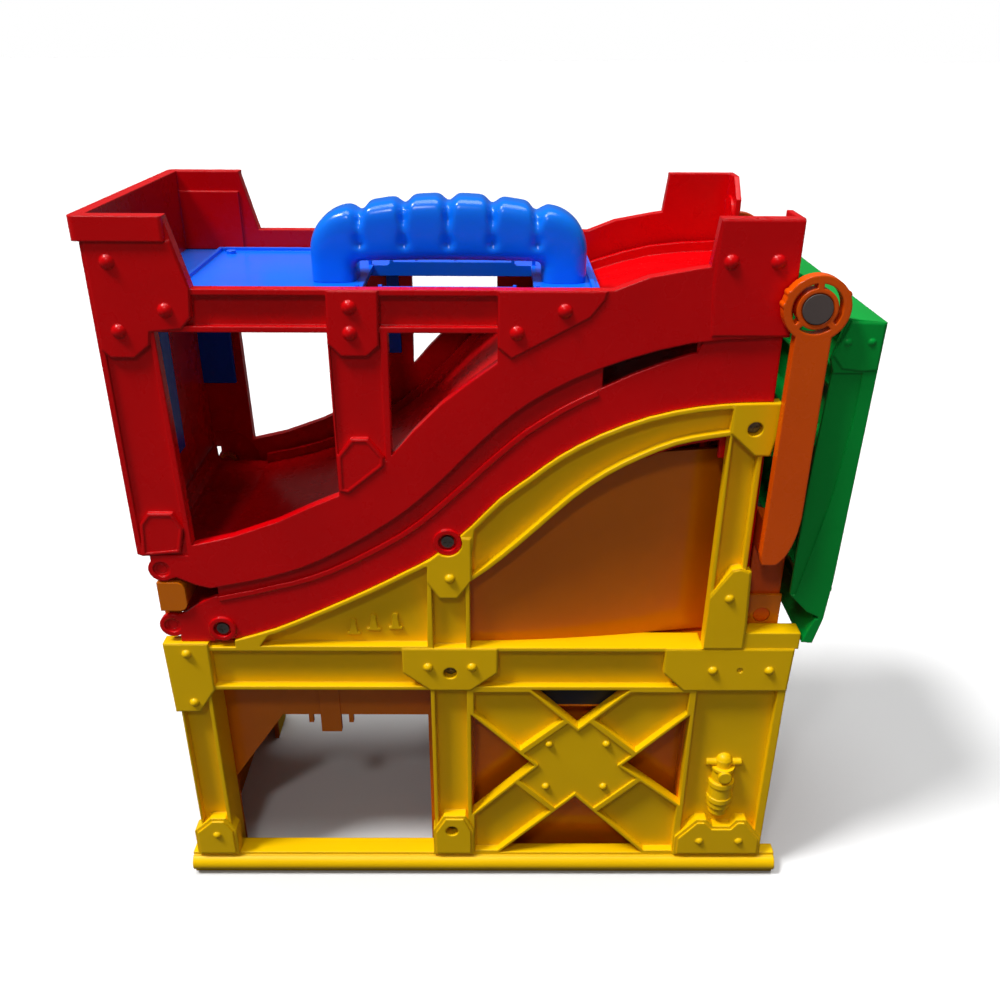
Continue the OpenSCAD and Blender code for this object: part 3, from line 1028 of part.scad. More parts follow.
// ---------------------------------------------------------------- lift
lift_gap = 2.2; // gap between the arms and the walls
arm_y = face_y - lift_gap - arm_t; // outer face of the arms
joggle_z0 = shaft_z + 46; // lower edge of the step between block and bar
joggle_z1 = shaft_z + 68;
block_w = 19.5; // width of the inboard block
bar_r = 5; // rounding of the bar's lower end
bar_end_h = 30; // height over which its right edge sweeps in
bar_end = smooth(at(axle_x - arm_w / 2, joggle_z0, arm_w, bar_end_h, [[0.42, 0], [0.66, 0.16], [0.84, 0.42], [0.95, 0.7],
    [1, 1]]), 2);
hub_rim = 2.8; // width of the hub's rim round the cap
slot_w = 2.4; // width of the curved slots in the ring
spoke_w = 3; // width of the spokes between them
bump_r = 1.8; // radius of the small bumps on the ring
module lift_arm() {
    hub_r = cap_r + hub_rim;
    difference() {
        union() {
            side(arm_y, arm_t) {
                // ring with three small bumps
                translate([axle_x, axle_z]) circle(r = ring_r + rivet_h);
                for (a = [28, 153, 175]) translate([axle_x, axle_z]) rotate(a) translate([ring_r, 0]) circle(r = bump_r);
                // bar, rounded in at its lower end
                polygon(concat([[axle_x - arm_w / 2 - rivet_h, joggle_z0 + bar_r], [axle_x - arm_w / 2, joggle_z0]],
                    bar_end, [[axle_x + arm_w / 2, axle_z], [axle_x - arm_w / 2, axle_z]]));
            }
            // step inwards
            side(arm_y + fine, arm_in_y + arm_low_t - arm_y - fine)
                polygon(concat([[shaft_x - block_w / 2, joggle_z0 + rivet_h]],
                    [for (p = bar_end) if (p[1] < joggle_z1 - rivet_h) p + [-rivet_h, rivet_h]],
                    [[axle_x - arm_w / 2 + rivet_h, joggle_z1]]));
            // inboard block down to the shaft
            side(arm_in_y, arm_low_t) {
                polygon([[shaft_x - block_w / 2, shaft_z], [shaft_x + block_w / 2, shaft_z],
                    [shaft_x + block_w / 2, joggle_z0 + bar_r], [bar_end[5][0] - rivet_h, joggle_z1 - bar_r],
                    [shaft_x - block_w / 2, joggle_z1 - bar_r]]);
                translate([shaft_x, shaft_z]) circle(r = block_w / 2);
            }
        }
        // curved slots round the hub, between three spokes
        side(arm_y - over, arm_t + 2 * over) difference() {
            translate([axle_x, axle_z]) circle(r = hub_r + slot_w);
            translate([axle_x, axle_z]) circle(r = hub_r);
            for (a = [90, 225, 315]) translate([axle_x, axle_z]) rotate(a) translate([0, -spoke_w / 2])
                square([ring_r, spoke_w]);
        }
        // recess round the cap
        bar(axle_x, axle_z, cap_r + rivet_h / 2, arm_y - over, arm_y + rivet_h);
        bar(axle_x, axle_z, axle_r + play, arm_y - over, arm_y + arm_t + over);
        bar(shaft_x, shaft_z, axle_r - play, arm_in_y - over, arm_in_y + arm_low_t + over);
    }
}
module lift_arm_front() { color("darkorange") lift_arm(); }
module lift_arm_rear() { color("darkorange") rear() lift_arm(); }
// The shaft is pressed into both arms and turns in the core's cheeks
module lift_shaft() {
    shaft_y = cheek_y - cheek_t + rivet_h / 2;
    color("gray") {
        bar(shaft_x, shaft_z, axle_r - play, shaft_y, -shaft_y);
    }
}
module lift_axle() { color("gray") bar(axle_x, axle_z, axle_r, arm_y + rivet_h / 2, -arm_y - rivet_h / 2); }
module axle_caps() {
    color("lightgray") both() {
        bar(axle_x, axle_z, cap_r, arm_y - rivet_h / 2, arm_y + rivet_h / 2);
    }
}

// Platform, hanging at rest outside the right tower
tray_x1 = base_x1 + tray_out;
tray_drop = 9; // its top edge below the axle
tray_z1 = axle_z - tray_drop;
tray_z0 = tray_z1 - tray_l; // lower tip
lean = 3.1; // how far the deck leans in towards its tip
tip_in = 9; // how far the tip lies inside the top edge
top_w = 20; // width of the top edge
top_rise = 2; // slope of the top edge
neck_w = 25.5; // width of the skirt at the knuckles' brackets
neck_h = 26; // height of the brackets
tray_outer = [[tray_x1, tray_z1], [tray_x1 - lean, tray_z1 - tray_l * 0.78],
    [tray_x1 - lean * 1.6, tray_z1 - tray_l * 0.915], [tray_x1 - tip_in, tray_z0]];
tray_in = tray_x1 - skirt_w - lean * 0.8;
module tray_skirt() {
    polygon([tray_outer[0], [tray_x1 - top_w, tray_z1 + top_rise], [tray_x1 - neck_w, tray_z1 - neck_h * 0.77],
        [tray_x1 - neck_w + top_rise, tray_z1 - neck_h], [tray_in, tray_z1 - tray_l * 0.51],
        [tray_in, tray_z1 - tray_l * 0.83], [tray_x1 - skirt_w * 0.64, tray_z1 - tray_l * 0.888],
        tray_outer[2], tray_outer[1]]);
}
tray_gusset = at(tray_x1 - neck_w, tray_z1 - neck_h, neck_w, neck_h,
    [[0.28, 1.02], [0.01, 0.33], [0.24, 0.05], [0.66, 0], [0.97, 0.02], [0.98, 1]]);
tray_rivets = at(tray_x1 - neck_w, tray_z1 - neck_h, neck_w, neck_h, [[0.27, 0.6], [0.75, 0.61]]);
tray_web = [[tray_in - over, tray_z1 - neck_h - rivet_h], [tray_x1 - skirt_w * 0.33, tray_z1 - neck_h - rivet_h],
    [tray_x1 - skirt_w * 0.34, tray_z1 - tray_l * 0.27], [tray_x1 - skirt_w * 0.5, tray_z1 - tray_l * 0.5],
    [tray_in + rivet_r, tray_z1 - tray_l * 0.83], [tray_in - over, tray_z1 - tray_l * 0.83]];
rivet_sink = 1.3; // its rivets pass inside the arms
tip_w = 6.5; // width of the platform's tip
rib_n = 4; // ribs under the platform
knuckle_l = 10; // length of a knuckle
knuckle_y = 40; // distance of the knuckles from the middle
module lift_tray() {
    inner = [for (p = tray_outer) p - [wall, 0]];
    color("limegreen") difference() {
        union() {
            // drive plate
            side(face_y, body_d) polygon(concat(tray_outer, rev(inner)));
            side(face_y, body_d) polygon([tray_outer[3] - [tip_w, -rivet_h / 2], tray_outer[3],
                tray_outer[2], tray_outer[2] - [tip_w * 0.7, 0]]);
            // skirts at both sides
            both() side(face_y, wall) tray_skirt();
            // top edge
            side(face_y, body_d) polygon([tray_outer[0], [tray_x1 - top_w, tray_z1 + top_rise],
                [tray_x1 - top_w, tray_z1 + top_rise - wall], tray_outer[0] - [0, wall]]);
            // ribs across the underside
            for (k = [1 : rib_n]) let (z = tray_z1 - tray_l * 0.8 * k / rib_n - wall)
                box([tray_in + 3 * wall, face_y + fine, z], [tray_x1 - lean - fine, -face_y - fine, z + wall * 0.8]);
            // knuckles round the axle
            for (y = [-knuckle_y, knuckle_y]) side(y - knuckle_l / 2, knuckle_l) {
                translate([axle_x, axle_z]) circle(r = knuckle_r);
                polygon([[axle_x, axle_z + knuckle_r], [tray_x1 - top_w * 0.9, tray_z1 + fine],
                    [tray_x1 - wall, tray_z1 - wall], [tray_x1 - wall, tray_z1 - neck_h],
                    [axle_x + knuckle_r, axle_z - knuckle_r * 2], [axle_x, axle_z - knuckle_r]]);
            }
            // raised gussets at the brackets
            both() plate(tray_gusset, face_y, plate_out);
            both() for (p = tray_rivets) rivet(p[0], p[1], face_y - plate_out + rivet_sink, rivet_r);
        }
        bar(axle_x, axle_z, axle_r + play, face_y - over, -face_y + over);
        // the skirts' face is set back beside the bead along the drive plate
        both() side(face_y - over, rivet_h + over) polygon(tray_web);
    }
}

front_frame();
rear_frame();
core_front();
core_rear();
ramp_lower();
bay_panels();
fold_pins_lower();
frame_screws_front();
frame_screws_rear();
ramp_screws();
fold_link();
upper_shell();
upper_ramp();
deck();
handle();
handle_screws();
fold_pins_upper();
lift_arm_front();
lift_arm_rear();
lift_shaft();
lift_axle();
axle_caps();
lift_tray();
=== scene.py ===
"""Looks of the toy parking garage: camera, studio, moulded finishes and the carry handle's skin.

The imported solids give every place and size. Lengths are metres in the garage's own frame:
+X to the right seen from the front, +Y from front to rear, +Z up. Colours are linear RGB.
"""

import json
import logging
import math
from dataclasses import dataclass, field
from enum import Enum

import bpy
import numpy as np
from mathutils import Matrix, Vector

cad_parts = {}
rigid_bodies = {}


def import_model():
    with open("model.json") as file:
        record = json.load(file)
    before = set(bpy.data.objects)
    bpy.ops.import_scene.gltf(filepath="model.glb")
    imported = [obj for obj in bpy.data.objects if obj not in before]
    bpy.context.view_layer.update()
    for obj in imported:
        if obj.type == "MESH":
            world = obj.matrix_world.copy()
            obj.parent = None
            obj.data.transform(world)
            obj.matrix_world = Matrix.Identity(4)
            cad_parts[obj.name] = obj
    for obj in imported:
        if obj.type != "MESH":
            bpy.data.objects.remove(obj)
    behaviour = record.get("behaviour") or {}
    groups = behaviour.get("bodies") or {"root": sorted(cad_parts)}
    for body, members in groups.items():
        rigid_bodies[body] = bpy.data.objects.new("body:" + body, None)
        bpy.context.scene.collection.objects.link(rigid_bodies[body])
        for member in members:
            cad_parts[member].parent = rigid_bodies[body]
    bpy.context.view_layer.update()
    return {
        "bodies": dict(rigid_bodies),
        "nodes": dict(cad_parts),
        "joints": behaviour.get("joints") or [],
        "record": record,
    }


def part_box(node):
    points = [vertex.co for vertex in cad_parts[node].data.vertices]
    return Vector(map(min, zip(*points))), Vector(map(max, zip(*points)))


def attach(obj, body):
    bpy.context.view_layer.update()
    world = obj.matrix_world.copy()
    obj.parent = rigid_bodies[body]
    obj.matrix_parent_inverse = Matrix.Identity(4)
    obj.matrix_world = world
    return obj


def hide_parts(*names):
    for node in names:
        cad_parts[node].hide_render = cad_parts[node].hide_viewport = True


LOG = logging.getLogger("garage")

Triple = tuple[float, float, float]


class Slot(Enum):
    """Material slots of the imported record."""

    YELLOW = "yellow_plastic"
    ORANGE = "orange_plastic"
    RED = "red_plastic"
    BLUE = "blue_plastic"
    NAVY_PAINTED_SHADE = "navy_plastic"
    GREEN = "green_plastic"
    GREY = "grey_plastic"
    STEEL = "steel"


@dataclass(frozen=True)
class Grain:
    """A noise read on Object coordinates: its scale per metre and its octaves."""

    scale: float
    detail: float

    def add(self, tree: bpy.types.NodeTree, coord: bpy.types.Node) -> bpy.types.NodeSocket:
        """Add the noise texture to a material.

        Args:
            tree: The material's node tree.
            coord: Its Texture Coordinate node.

        Returns:
            The noise's output, about 0 to 1.
        """
        node = tree.nodes.new("ShaderNodeTexNoise")
        node.inputs["Scale"].default_value = self.scale
        node.inputs["Detail"].default_value = self.detail
        tree.links.new(coord.outputs["Object"], node.inputs["Vector"])
        return node.outputs["Fac"]


def blank_material(name: str) -> tuple[bpy.types.Material, bpy.types.Node]:
    """Start a node material.

    Args:
        name: Name of the material.

    Returns:
        The material and its shader node.
    """
    mat = bpy.data.materials.new(name)
    mat.use_nodes = True
    return mat, mat.node_tree.nodes["Principled BSDF"]


def remap(tree: bpy.types.NodeTree, value: bpy.types.NodeSocket, source: tuple[float, float],
          target: tuple[float, float]) -> bpy.types.NodeSocket:
    """Carry a value from one span to another, clamped at the ends.

    Args:
        tree: The material's node tree.
        value: The output to carry over.
        source: Span that it is read on.
        target: Span that it is given on.

    Returns:
        The carried value.
    """
    node = tree.nodes.new("ShaderNodeMapRange")
    node.inputs["From Min"].default_value, node.inputs["From Max"].default_value = source
    node.inputs["To Min"].default_value, node.inputs["To Max"].default_value = target
    tree.links.new(value, node.inputs["Value"])
    return node.outputs["Result"]


def blend_colours(tree: bpy.types.NodeTree, share: bpy.types.NodeSocket, first: Triple,
                  second: Triple) -> bpy.types.NodeSocket:
    """Mix two colours.

    Args:
        tree: The material's node tree.
        share: Share of the second colour.
        first: Colour at share 0.
        second: Colour at share 1.

    Returns:
        The mixed colour.
    """
    node = tree.nodes.new("ShaderNodeMix")
    node.data_type = "RGBA"
    node.inputs["A"].default_value = (*first, 1.0)
    node.inputs["B"].default_value = (*second, 1.0)
    tree.links.new(share, node.inputs["Factor"])
    return node.outputs["Result"]


@dataclass(frozen=True)
class Moulded:
    """Injection-moulded plastic: a body colour that drifts a little, a fine skin and rubbed edges.

    Attributes:
        name: Name of the material.
        colour: Body colour.
        shade: Second tone that the body colour drifts to.
        roughness: Middle roughness.
        gloss: Specular level.
        edge: Radius that edges are shaded with.
        skin: Strength of the surface relief.
        drift: Noise of the colour drift.
        drift_span: Noise values between which the colour drifts.
        scuff: Noise of the roughness.
        polish: How much smoother the smoothest places are.
        dull: How much rougher the scuffed places are.
        fine: Noise of the mould's texture.
        wave: Noise of the slow unevenness under it.
        fine_share: Height of the texture against the unevenness.
        relief: Height that full noise stands for.
        edge_rays: Rays that find the edges.
    """

    name: str
    colour: Triple
    shade: Triple
    roughness: float = 0.26
    gloss: float = 0.35
    edge: float = 0.0007
    skin: float = 0.06
    drift: Grain = Grain(14.0, 3.0)
    drift_span: tuple[float, float] = (0.35, 0.75)
    scuff: Grain = Grain(60.0, 6.0)
    polish: float = 0.06
    dull: float = 0.10
    fine: Grain = Grain(900.0, 2.0)
    wave: Grain = Grain(28.0, 1.0)
    fine_share: float = 0.12
    relief: float = 0.004
    edge_rays: int = 6

    def make(self) -> bpy.types.Material:
        """Build the node material.

        Returns:
            The finished material.
        """
        mat, shader = blank_material(self.name)
        tree = mat.node_tree
        shader.inputs["Specular IOR Level"].default_value = self.gloss
        coord = tree.nodes.new("ShaderNodeTexCoord")
        share = remap(tree, self.drift.add(tree, coord), self.drift_span, (0.0, 1.0))
        body = blend_colours(tree, share, self.colour, self.shade)
        tree.links.new(body, shader.inputs["Base Color"])
        rough = remap(tree, self.scuff.add(tree, coord), (0.0, 1.0),
                      (self.roughness - self.polish, self.roughness + self.dull))
        tree.links.new(rough, shader.inputs["Roughness"])
        tree.links.new(self._relief(tree, coord), shader.inputs["Normal"])
        return mat

    def _relief(self, tree: bpy.types.NodeTree, coord: bpy.types.Node) -> bpy.types.NodeSocket:
        """Add the skin's bump over softened edges: height = wave + fine_share * fine.

        Args:
            tree: The material's node tree.
            coord: Its Texture Coordinate node.

        Returns:
            The bumped normal.
        """
        height = tree.nodes.new("ShaderNodeMath")
        height.operation = "MULTIPLY_ADD"
        tree.links.new(self.fine.add(tree, coord), height.inputs[0])
        height.inputs[1].default_value = self.fine_share
        tree.links.new(self.wave.add(tree, coord), height.inputs[2])
        edges = tree.nodes.new("ShaderNodeBevel")
        edges.samples = self.edge_rays
        edges.inputs["Radius"].default_value = self.edge
        bump = tree.nodes.new("ShaderNodeBump")
        bump.inputs["Strength"].default_value = self.skin
        bump.inputs["Distance"].default_value = self.relief
        tree.links.new(height.outputs["Value"], bump.inputs["Height"])
        tree.links.new(edges.outputs["Normal"], bump.inputs["Normal"])
        return bump.outputs["Normal"]


@dataclass(frozen=True)
class Plated:
    """Zinc-plated steel of the screws.

    Attributes:
        name: Name of the material.
        colour: Colour of the bright zinc.
        dark: Tarnished colour's share of the bright one.
        roughness: Middle roughness.
        polish: How much smoother the bright places are.
        dull: How much rougher the tarnished places are.
        tarnish: Noise of the tarnish.
    """

    name: str
    colour: Triple = (0.24, 0.22, 0.20)
    dark: float = 0.5
    roughness: float = 0.32
    polish: float = 0.10
    dull: float = 0.20
    tarnish: Grain = Grain(400.0, 4.0)

    def make(self) -> bpy.types.Material:
        """Build the node material.

        Returns:
            The finished material.
        """
        mat, shader = blank_material(self.name)
        tree = mat.node_tree
        shader.inputs["Metallic"].default_value = 1.0
        tarnish = self.tarnish.add(tree, tree.nodes.new("ShaderNodeTexCoord"))
        tarnished = tuple(self.dark * c for c in self.colour)
        body = blend_colours(tree, tarnish, self.colour, tarnished)
        tree.links.new(body, shader.inputs["Base Color"])
        rough = remap(tree, tarnish, (0.0, 1.0),
                      (self.roughness - self.polish, self.roughness + self.dull))
        tree.links.new(rough, shader.inputs["Roughness"])
        return mat


SHELL_EDGE = 0.0012

FINISHES: dict[Slot, Moulded | Plated] = {
    Slot.YELLOW: Moulded("yellow shell", (0.95, 0.57, 0.0), (0.91, 0.53, 0.0),
                         roughness=0.34, gloss=0.22, edge=SHELL_EDGE),
    Slot.ORANGE: Moulded("orange shell", (0.74, 0.175, 0.0), (0.66, 0.145, 0.0),
                         roughness=0.16, gloss=0.40),
    Slot.RED: Moulded("red shell", (0.72, 0.0, 0.002), (0.63, 0.0, 0.002),
                      roughness=0.26, gloss=0.26, edge=SHELL_EDGE),
    Slot.BLUE: Moulded("blue shell", (0.003, 0.165, 0.95), (0.002, 0.14, 0.90),
                       roughness=0.22, gloss=0.30),
    # Painted shade: the navy piece under the mid floor of the lower bay is given a near-black blue
    # because it sits in deep shadow, not its own lit colour.
    Slot.NAVY_PAINTED_SHADE: Moulded("navy panel in painted shade", (0.003, 0.006, 0.03), (0.002, 0.004, 0.02), roughness=0.40),
    Slot.GREEN: Moulded("green shell", (0.0, 0.36, 0.045), (0.0, 0.30, 0.036),
                        roughness=0.30, gloss=0.22, edge=SHELL_EDGE),
    Slot.GREY: Moulded("grey pin", (0.115, 0.088, 0.082), (0.095, 0.074, 0.07), roughness=0.38),
    Slot.STEEL: Plated("plated screws"),
}
LIFT_ORANGE = Moulded("lift orange", (0.85, 0.100, 0.0), (0.79, 0.086, 0.0),
                      roughness=0.26, edge=SHELL_EDGE)
HANDLE_BLUE = Moulded("handle blue", (0.002, 0.18, 0.84), (0.002, 0.155, 0.80),
                      roughness=0.20, gloss=0.45)


def wear(obj: bpy.types.Object, tone: bpy.types.Material) -> None:
    """Make one material the only finish of a piece and log it.

    Args:
        obj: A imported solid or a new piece.
        tone: The material.
    """
    obj.data.materials.clear()
    obj.data.materials.append(tone)
    LOG.info("piece %s wears %s", obj.name, tone.name)


@dataclass
class Finisher:
    """Makes the finish of each record slot once."""

    made: dict[Slot, bpy.types.Material] = field(default_factory=dict)

    def of(self, slot: Slot) -> bpy.types.Material:
        """Return the material of a slot, building it at its first use.

        Args:
            slot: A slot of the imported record.

        Returns:
            The slot's material.
        """
        if slot not in self.made:
            self.made[slot] = FINISHES[slot].make()
        return self.made[slot]


@dataclass
class SubAssembly:
    """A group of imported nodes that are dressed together.

    Attributes:
        finisher: Maker of the finishes, shared by all groups.
        nodes: Nodes that wear the finish of their record slot.
    """

    frame: dict
    finisher: Finisher
    nodes: tuple[str, ...] = ()

    def slot_of(self, node: str) -> Slot:
        """Return the record's material slot of a node."""
        subparts = self.frame["record"]["subparts"]
        return next(Slot(sub["material_slot"]) for sub in subparts if sub["node"] == node)

    def finish(self) -> None:
        """Give every node of the group the finish of its record slot."""
        for node in self.nodes:
            wear(self.frame["nodes"][node], self.finisher.of(self.slot_of(node)))


@dataclass
class Base(SubAssembly):
    """Yellow side frames, the orange core between them and their screws."""

    nodes: tuple[str, ...] = ("front_frame", "rear_frame", "core_front", "core_rear", "bay_panels",
                              "frame_screws_front", "frame_screws_rear")


@dataclass
class LowerRamp(SubAssembly):
    """Red lower half of the drive with its screws, fold pins and the orange fold link."""

    nodes: tuple[str, ...] = ("ramp_lower", "ramp_screws", "fold_pins_lower", "fold_link")


@dataclass
class UpperStorey(SubAssembly):
    """Red upper walls, their ramp floor and the blue parking deck."""

    nodes: tuple[str, ...] = ("upper_shell", "upper_ramp", "fold_pins_upper", "deck",
                              "handle_screws")


@dataclass(frozen=True)
class Loop:
    """One edge of the handle's arch: two legs, two round corners and a slightly crowned span.

    Attributes:
        half: Half the arch's length.
        top: Height of the span's middle.
        foot: Height of the feet.
        radius: Radius of the corners.
        drop: How far the span falls from its middle to its ends.
        leg_share: Share of the half arch that is leg.
        bend_share: Share of the half arch that is corner.
    """

    half: float
    top: float
    foot: float
    radius: float
    drop: float
    leg_share: float = 0.12
    bend_share: float = 0.30

    def points(self, share: np.ndarray) -> np.ndarray:
        """Return points of the edge, x from the handle's middle and z.

        The left half is a straight leg at x = -half; a quarter circle; and a span whose height
        falls with the square of the distance from the middle, by the drop at its end. The right
        half mirrors it.

        Args:
            share: Place along the edge, 0 at the left foot and 1 at the right one.

        Returns:
            Array (len(share), 2).
        """
        t = 1.0 - np.abs(2.0 * share - 1.0)
        bend_end = self.leg_share + self.bend_share
        knee = self.top - self.drop - self.radius
        turn = np.pi / 2 * (t - self.leg_share) / self.bend_share
        rest = np.clip((t - bend_end) / (1 - bend_end), 0, 1)
        zones = [t < self.leg_share, t < bend_end]
        x = np.select(zones, [-self.half + 0 * t, -self.half + self.radius * (1 - np.cos(turn))],
                      -(self.half - self.radius) * (1 - rest))
        leg = self.foot + (knee - self.foot) * t / self.leg_share
        z = np.select(zones, [leg, knee + self.radius * np.sin(turn)],
                      self.top - self.drop * (1 - rest) ** 2)
        return np.stack([np.where(share > 0.5, -x, x), z], axis=1)


@dataclass
class CarryHandle(SubAssembly):
    """Blue carrying handle: an arch with finger lobes, lofted as one fine skin.

    Each section runs from the outer loop to the inner one. It is a superellipse that narrows in
    upright grooves between the fingers; a groove is round on top, thin on the flat sides and ends
    above a dimple.

    Attributes:
        leg: Width of the legs.
        span: Height of the span.
        outer_r: Radius of the arch's outer corners.
        inner_r: Radius of its inner corners.
        crown: How far the outer edge falls towards the corners.
        inner_crown: The same of the inner edge.
        squareness: Exponent of the section, 1 for an ellipse and 0 for a box.
        pitch: Distance from groove to groove.
        grooved: Pitches from the middle to where the grooves stop.
        groove: Depth of a groove.
        top_power: Exponent that narrows a groove on top.
        side_power: What is added to it on the sides.
        fade: Cosine of the section angle over which a groove fades out below the middle.
        groove_end: Height of a groove's lower end over the span's lower edge.
        run_out: Height over which it runs out there.
        dimple: Depth of a dimple.
        dimple_r: Radius of a dimple.
        dimple_rise: Height of its centre over the span's lower edge.
        rings: Sections along the arch.
        around: Points round a section.
    """

    nodes: tuple[str, ...] = ("handle",)
    leg: float = 0.0255
    span: float = 0.0350
    outer_r: float = 0.024
    inner_r: float = 0.004
    crown: float = 0.006
    inner_crown: float = 0.0005
    squareness: float = 0.50
    pitch: float = 0.0247
    grooved: float = 2.4
    groove: float = 0.0036
    top_power: float = 8.0
    side_power: float = 14.0
    fade: float = 0.35
    groove_end: float = 0.0160
    run_out: float = 0.0085
    dimple: float = 0.0026
    dimple_r: float = 0.0031
    dimple_rise: float = 0.0110
    rings: int = 400
    around: int = 96

    def skin(self, low: np.ndarray, high: np.ndarray) -> np.ndarray:
        """Return the handle's surface as rings of points.

        With a the angle round the section, w = sign(cos a) |cos a|^q and d = sign(sin a) |sin a|^q
        for the squareness q, a point lies w half-sections from the middle towards the outer loop
        and d half-depths across. Grooves shorten both half-sizes, dimples the half-depth alone.

        Args:
            low: Lower corner of the handle's box.
            high: Upper corner of the handle's box.

        Returns:
            Array (rings, around, 3).
        """
        share = np.linspace(0.0, 1.0, self.rings)
        half, depth, middle = (high[0] - low[0]) / 2, (high[1] - low[1]) / 2, (low + high) / 2
        under = high[2] - self.span
        outer = Loop(half, high[2], low[2], self.outer_r, self.crown).points(share)
        inner = Loop(half - self.leg, under, low[2], self.inner_r, self.inner_crown).points(share)
        centre, arm = ((outer + inner) / 2)[:, None, :], ((outer - inner) / 2)[:, None, :]
        reach = np.linalg.norm(arm, axis=2)
        a = np.linspace(0.0, 2 * np.pi, self.around, endpoint=False)[None, :]
        w = np.sign(np.cos(a)) * np.abs(np.cos(a)) ** self.squareness
        d = np.sign(np.sin(a)) * np.abs(np.sin(a)) ** self.squareness
        plain = centre + w[..., None] * arm
        fingers = np.abs(plain[..., 0]) < self.grooved * self.pitch
        groove = fingers * self.groove_depth(plain[..., 0], plain[..., 1] - under, np.cos(a))
        bent = centre + (w * (reach - groove) / reach)[..., None] * arm
        dimple = fingers * self.dimple_depth(bent[..., 0], bent[..., 1] - under)
        y = middle[1] + (depth - groove - dimple) * d
        return np.stack([middle[0] + bent[..., 0], y, bent[..., 1]], axis=-1)

    def groove_depth(self, x: np.ndarray, rise: np.ndarray, cos: np.ndarray) -> np.ndarray:
        """Return how deep the grooves are: groove |cos(pi x / pitch)|^p, faded out below.

        The power p grows from top_power on top to top_power + side_power on the sides.

        Args:
            x: Distance from the handle's middle.
            rise: Height over the span's lower edge.
            cos: Cosine of the angle round the section, 1 at the outer loop.

        Returns:
            Depth at each point.
        """
        power = self.top_power + self.side_power * (1 - np.clip(cos, 0, 1))
        ease = np.clip((rise - self.groove_end) / self.run_out, 0, 1)
        below = np.clip(1 + cos / self.fade, 0, 1)
        return self.groove * ease * below * np.abs(np.cos(np.pi * x / self.pitch)) ** power

    def dimple_depth(self, x: np.ndarray, rise: np.ndarray) -> np.ndarray:
        """Return how deep the dimples are: a bell curve of the distance from the nearest centre.

        Args:
            x: Distance from the handle's middle.
            rise: Height over the span's lower edge.

        Returns:
            Depth at each point.
        """
        aside = x - np.round(x / self.pitch) * self.pitch
        off2 = aside ** 2 + (rise - self.dimple_rise) ** 2
        return self.dimple * np.exp(-off2 / self.dimple_r ** 2)

    def finish(self) -> None:
        """Loft the skin, let it stand for the handle's solid and dress both."""
        low, high = (np.array(c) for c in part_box("handle"))
        skin = mesh_from_rings("handle_skin", self.skin(low, high))
        wear(skin, HANDLE_BLUE.make())
        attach(skin, "upper")
        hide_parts("handle")
        super().finish()


@dataclass
class Lift(SubAssembly):
    """Orange arms, shaft, axle and the green platform.

    Attributes:
        arms: Nodes that wear the lift's own redder orange.
    """

    nodes: tuple[str, ...] = ("lift_axle", "axle_caps", "lift_tray")
    arms: tuple[str, ...] = ("lift_arm_front", "lift_arm_rear", "lift_shaft")

    def finish(self) -> None:
        """Give the arms and their shaft a redder orange and the rest the finish of its slot."""
        super().finish()
        tone = LIFT_ORANGE.make()
        for node in self.arms:
            wear(self.frame["nodes"][node], tone)


@dataclass(frozen=True)
class Sun:
    """A distant lamp.

    Attributes:
        name: Object name.
        back: Direction from the garage to the lamp.
        strength: Irradiance it gives a sheet that faces it.
        spread: Angular diameter in degrees.
    """

    name: str
    back: Triple
    strength: float
    spread: float

    def light(self) -> None:
        """Add the lamp to the scene."""
        data = bpy.data.lights.new(self.name, "SUN")
        data.energy = self.strength
        data.angle = math.radians(self.spread)
        hang_lamp(data, self.back, (0.0, 0.0, 0.0))


@dataclass(frozen=True)
class Panel:
    """A square area lamp.

    Attributes:
        name: Object name.
        place: Where it hangs.
        aim: The point that it faces.
        size: Edge length.
        power: Watts.
    """

    name: str
    place: Triple
    aim: Triple
    size: float
    power: float

    def light(self) -> None:
        """Add the lamp to the scene."""
        data = bpy.data.lights.new(self.name, "AREA")
        data.shape = "SQUARE"
        data.size = self.size
        data.energy = self.power
        hang_lamp(data, self.place, self.aim)


def hang_lamp(data: bpy.types.Light, place: Triple, aim: Triple) -> None:
    """Link a lamp whose -Z axis points from its place to the aim.

    Args:
        data: The lamp's settings.
        place: Where it hangs.
        aim: The point that it faces.
    """
    back = np.array(place) - np.array(aim)
    back /= np.linalg.norm(back)
    side = np.cross([0.0, 1.0, 0.0], back)
    side /= np.linalg.norm(side)
    place_view(bpy.data.objects.new(data.name, data), place, (side, np.cross(back, side), back))


def place_view(obj: bpy.types.Object, place: Triple,
               axes: tuple[np.ndarray, np.ndarray, np.ndarray]) -> None:
    """Turn a lamp or a camera, put it in its place and link it.

    Args:
        obj: The lamp or camera.
        place: Where it stands.
        axes: Directions of its own X, Y and Z; it looks along -Z.
    """
    turn = Matrix(np.column_stack(axes).tolist()).to_4x4()
    obj.matrix_world = Matrix.Translation(place) @ turn
    bpy.context.scene.collection.objects.link(obj)


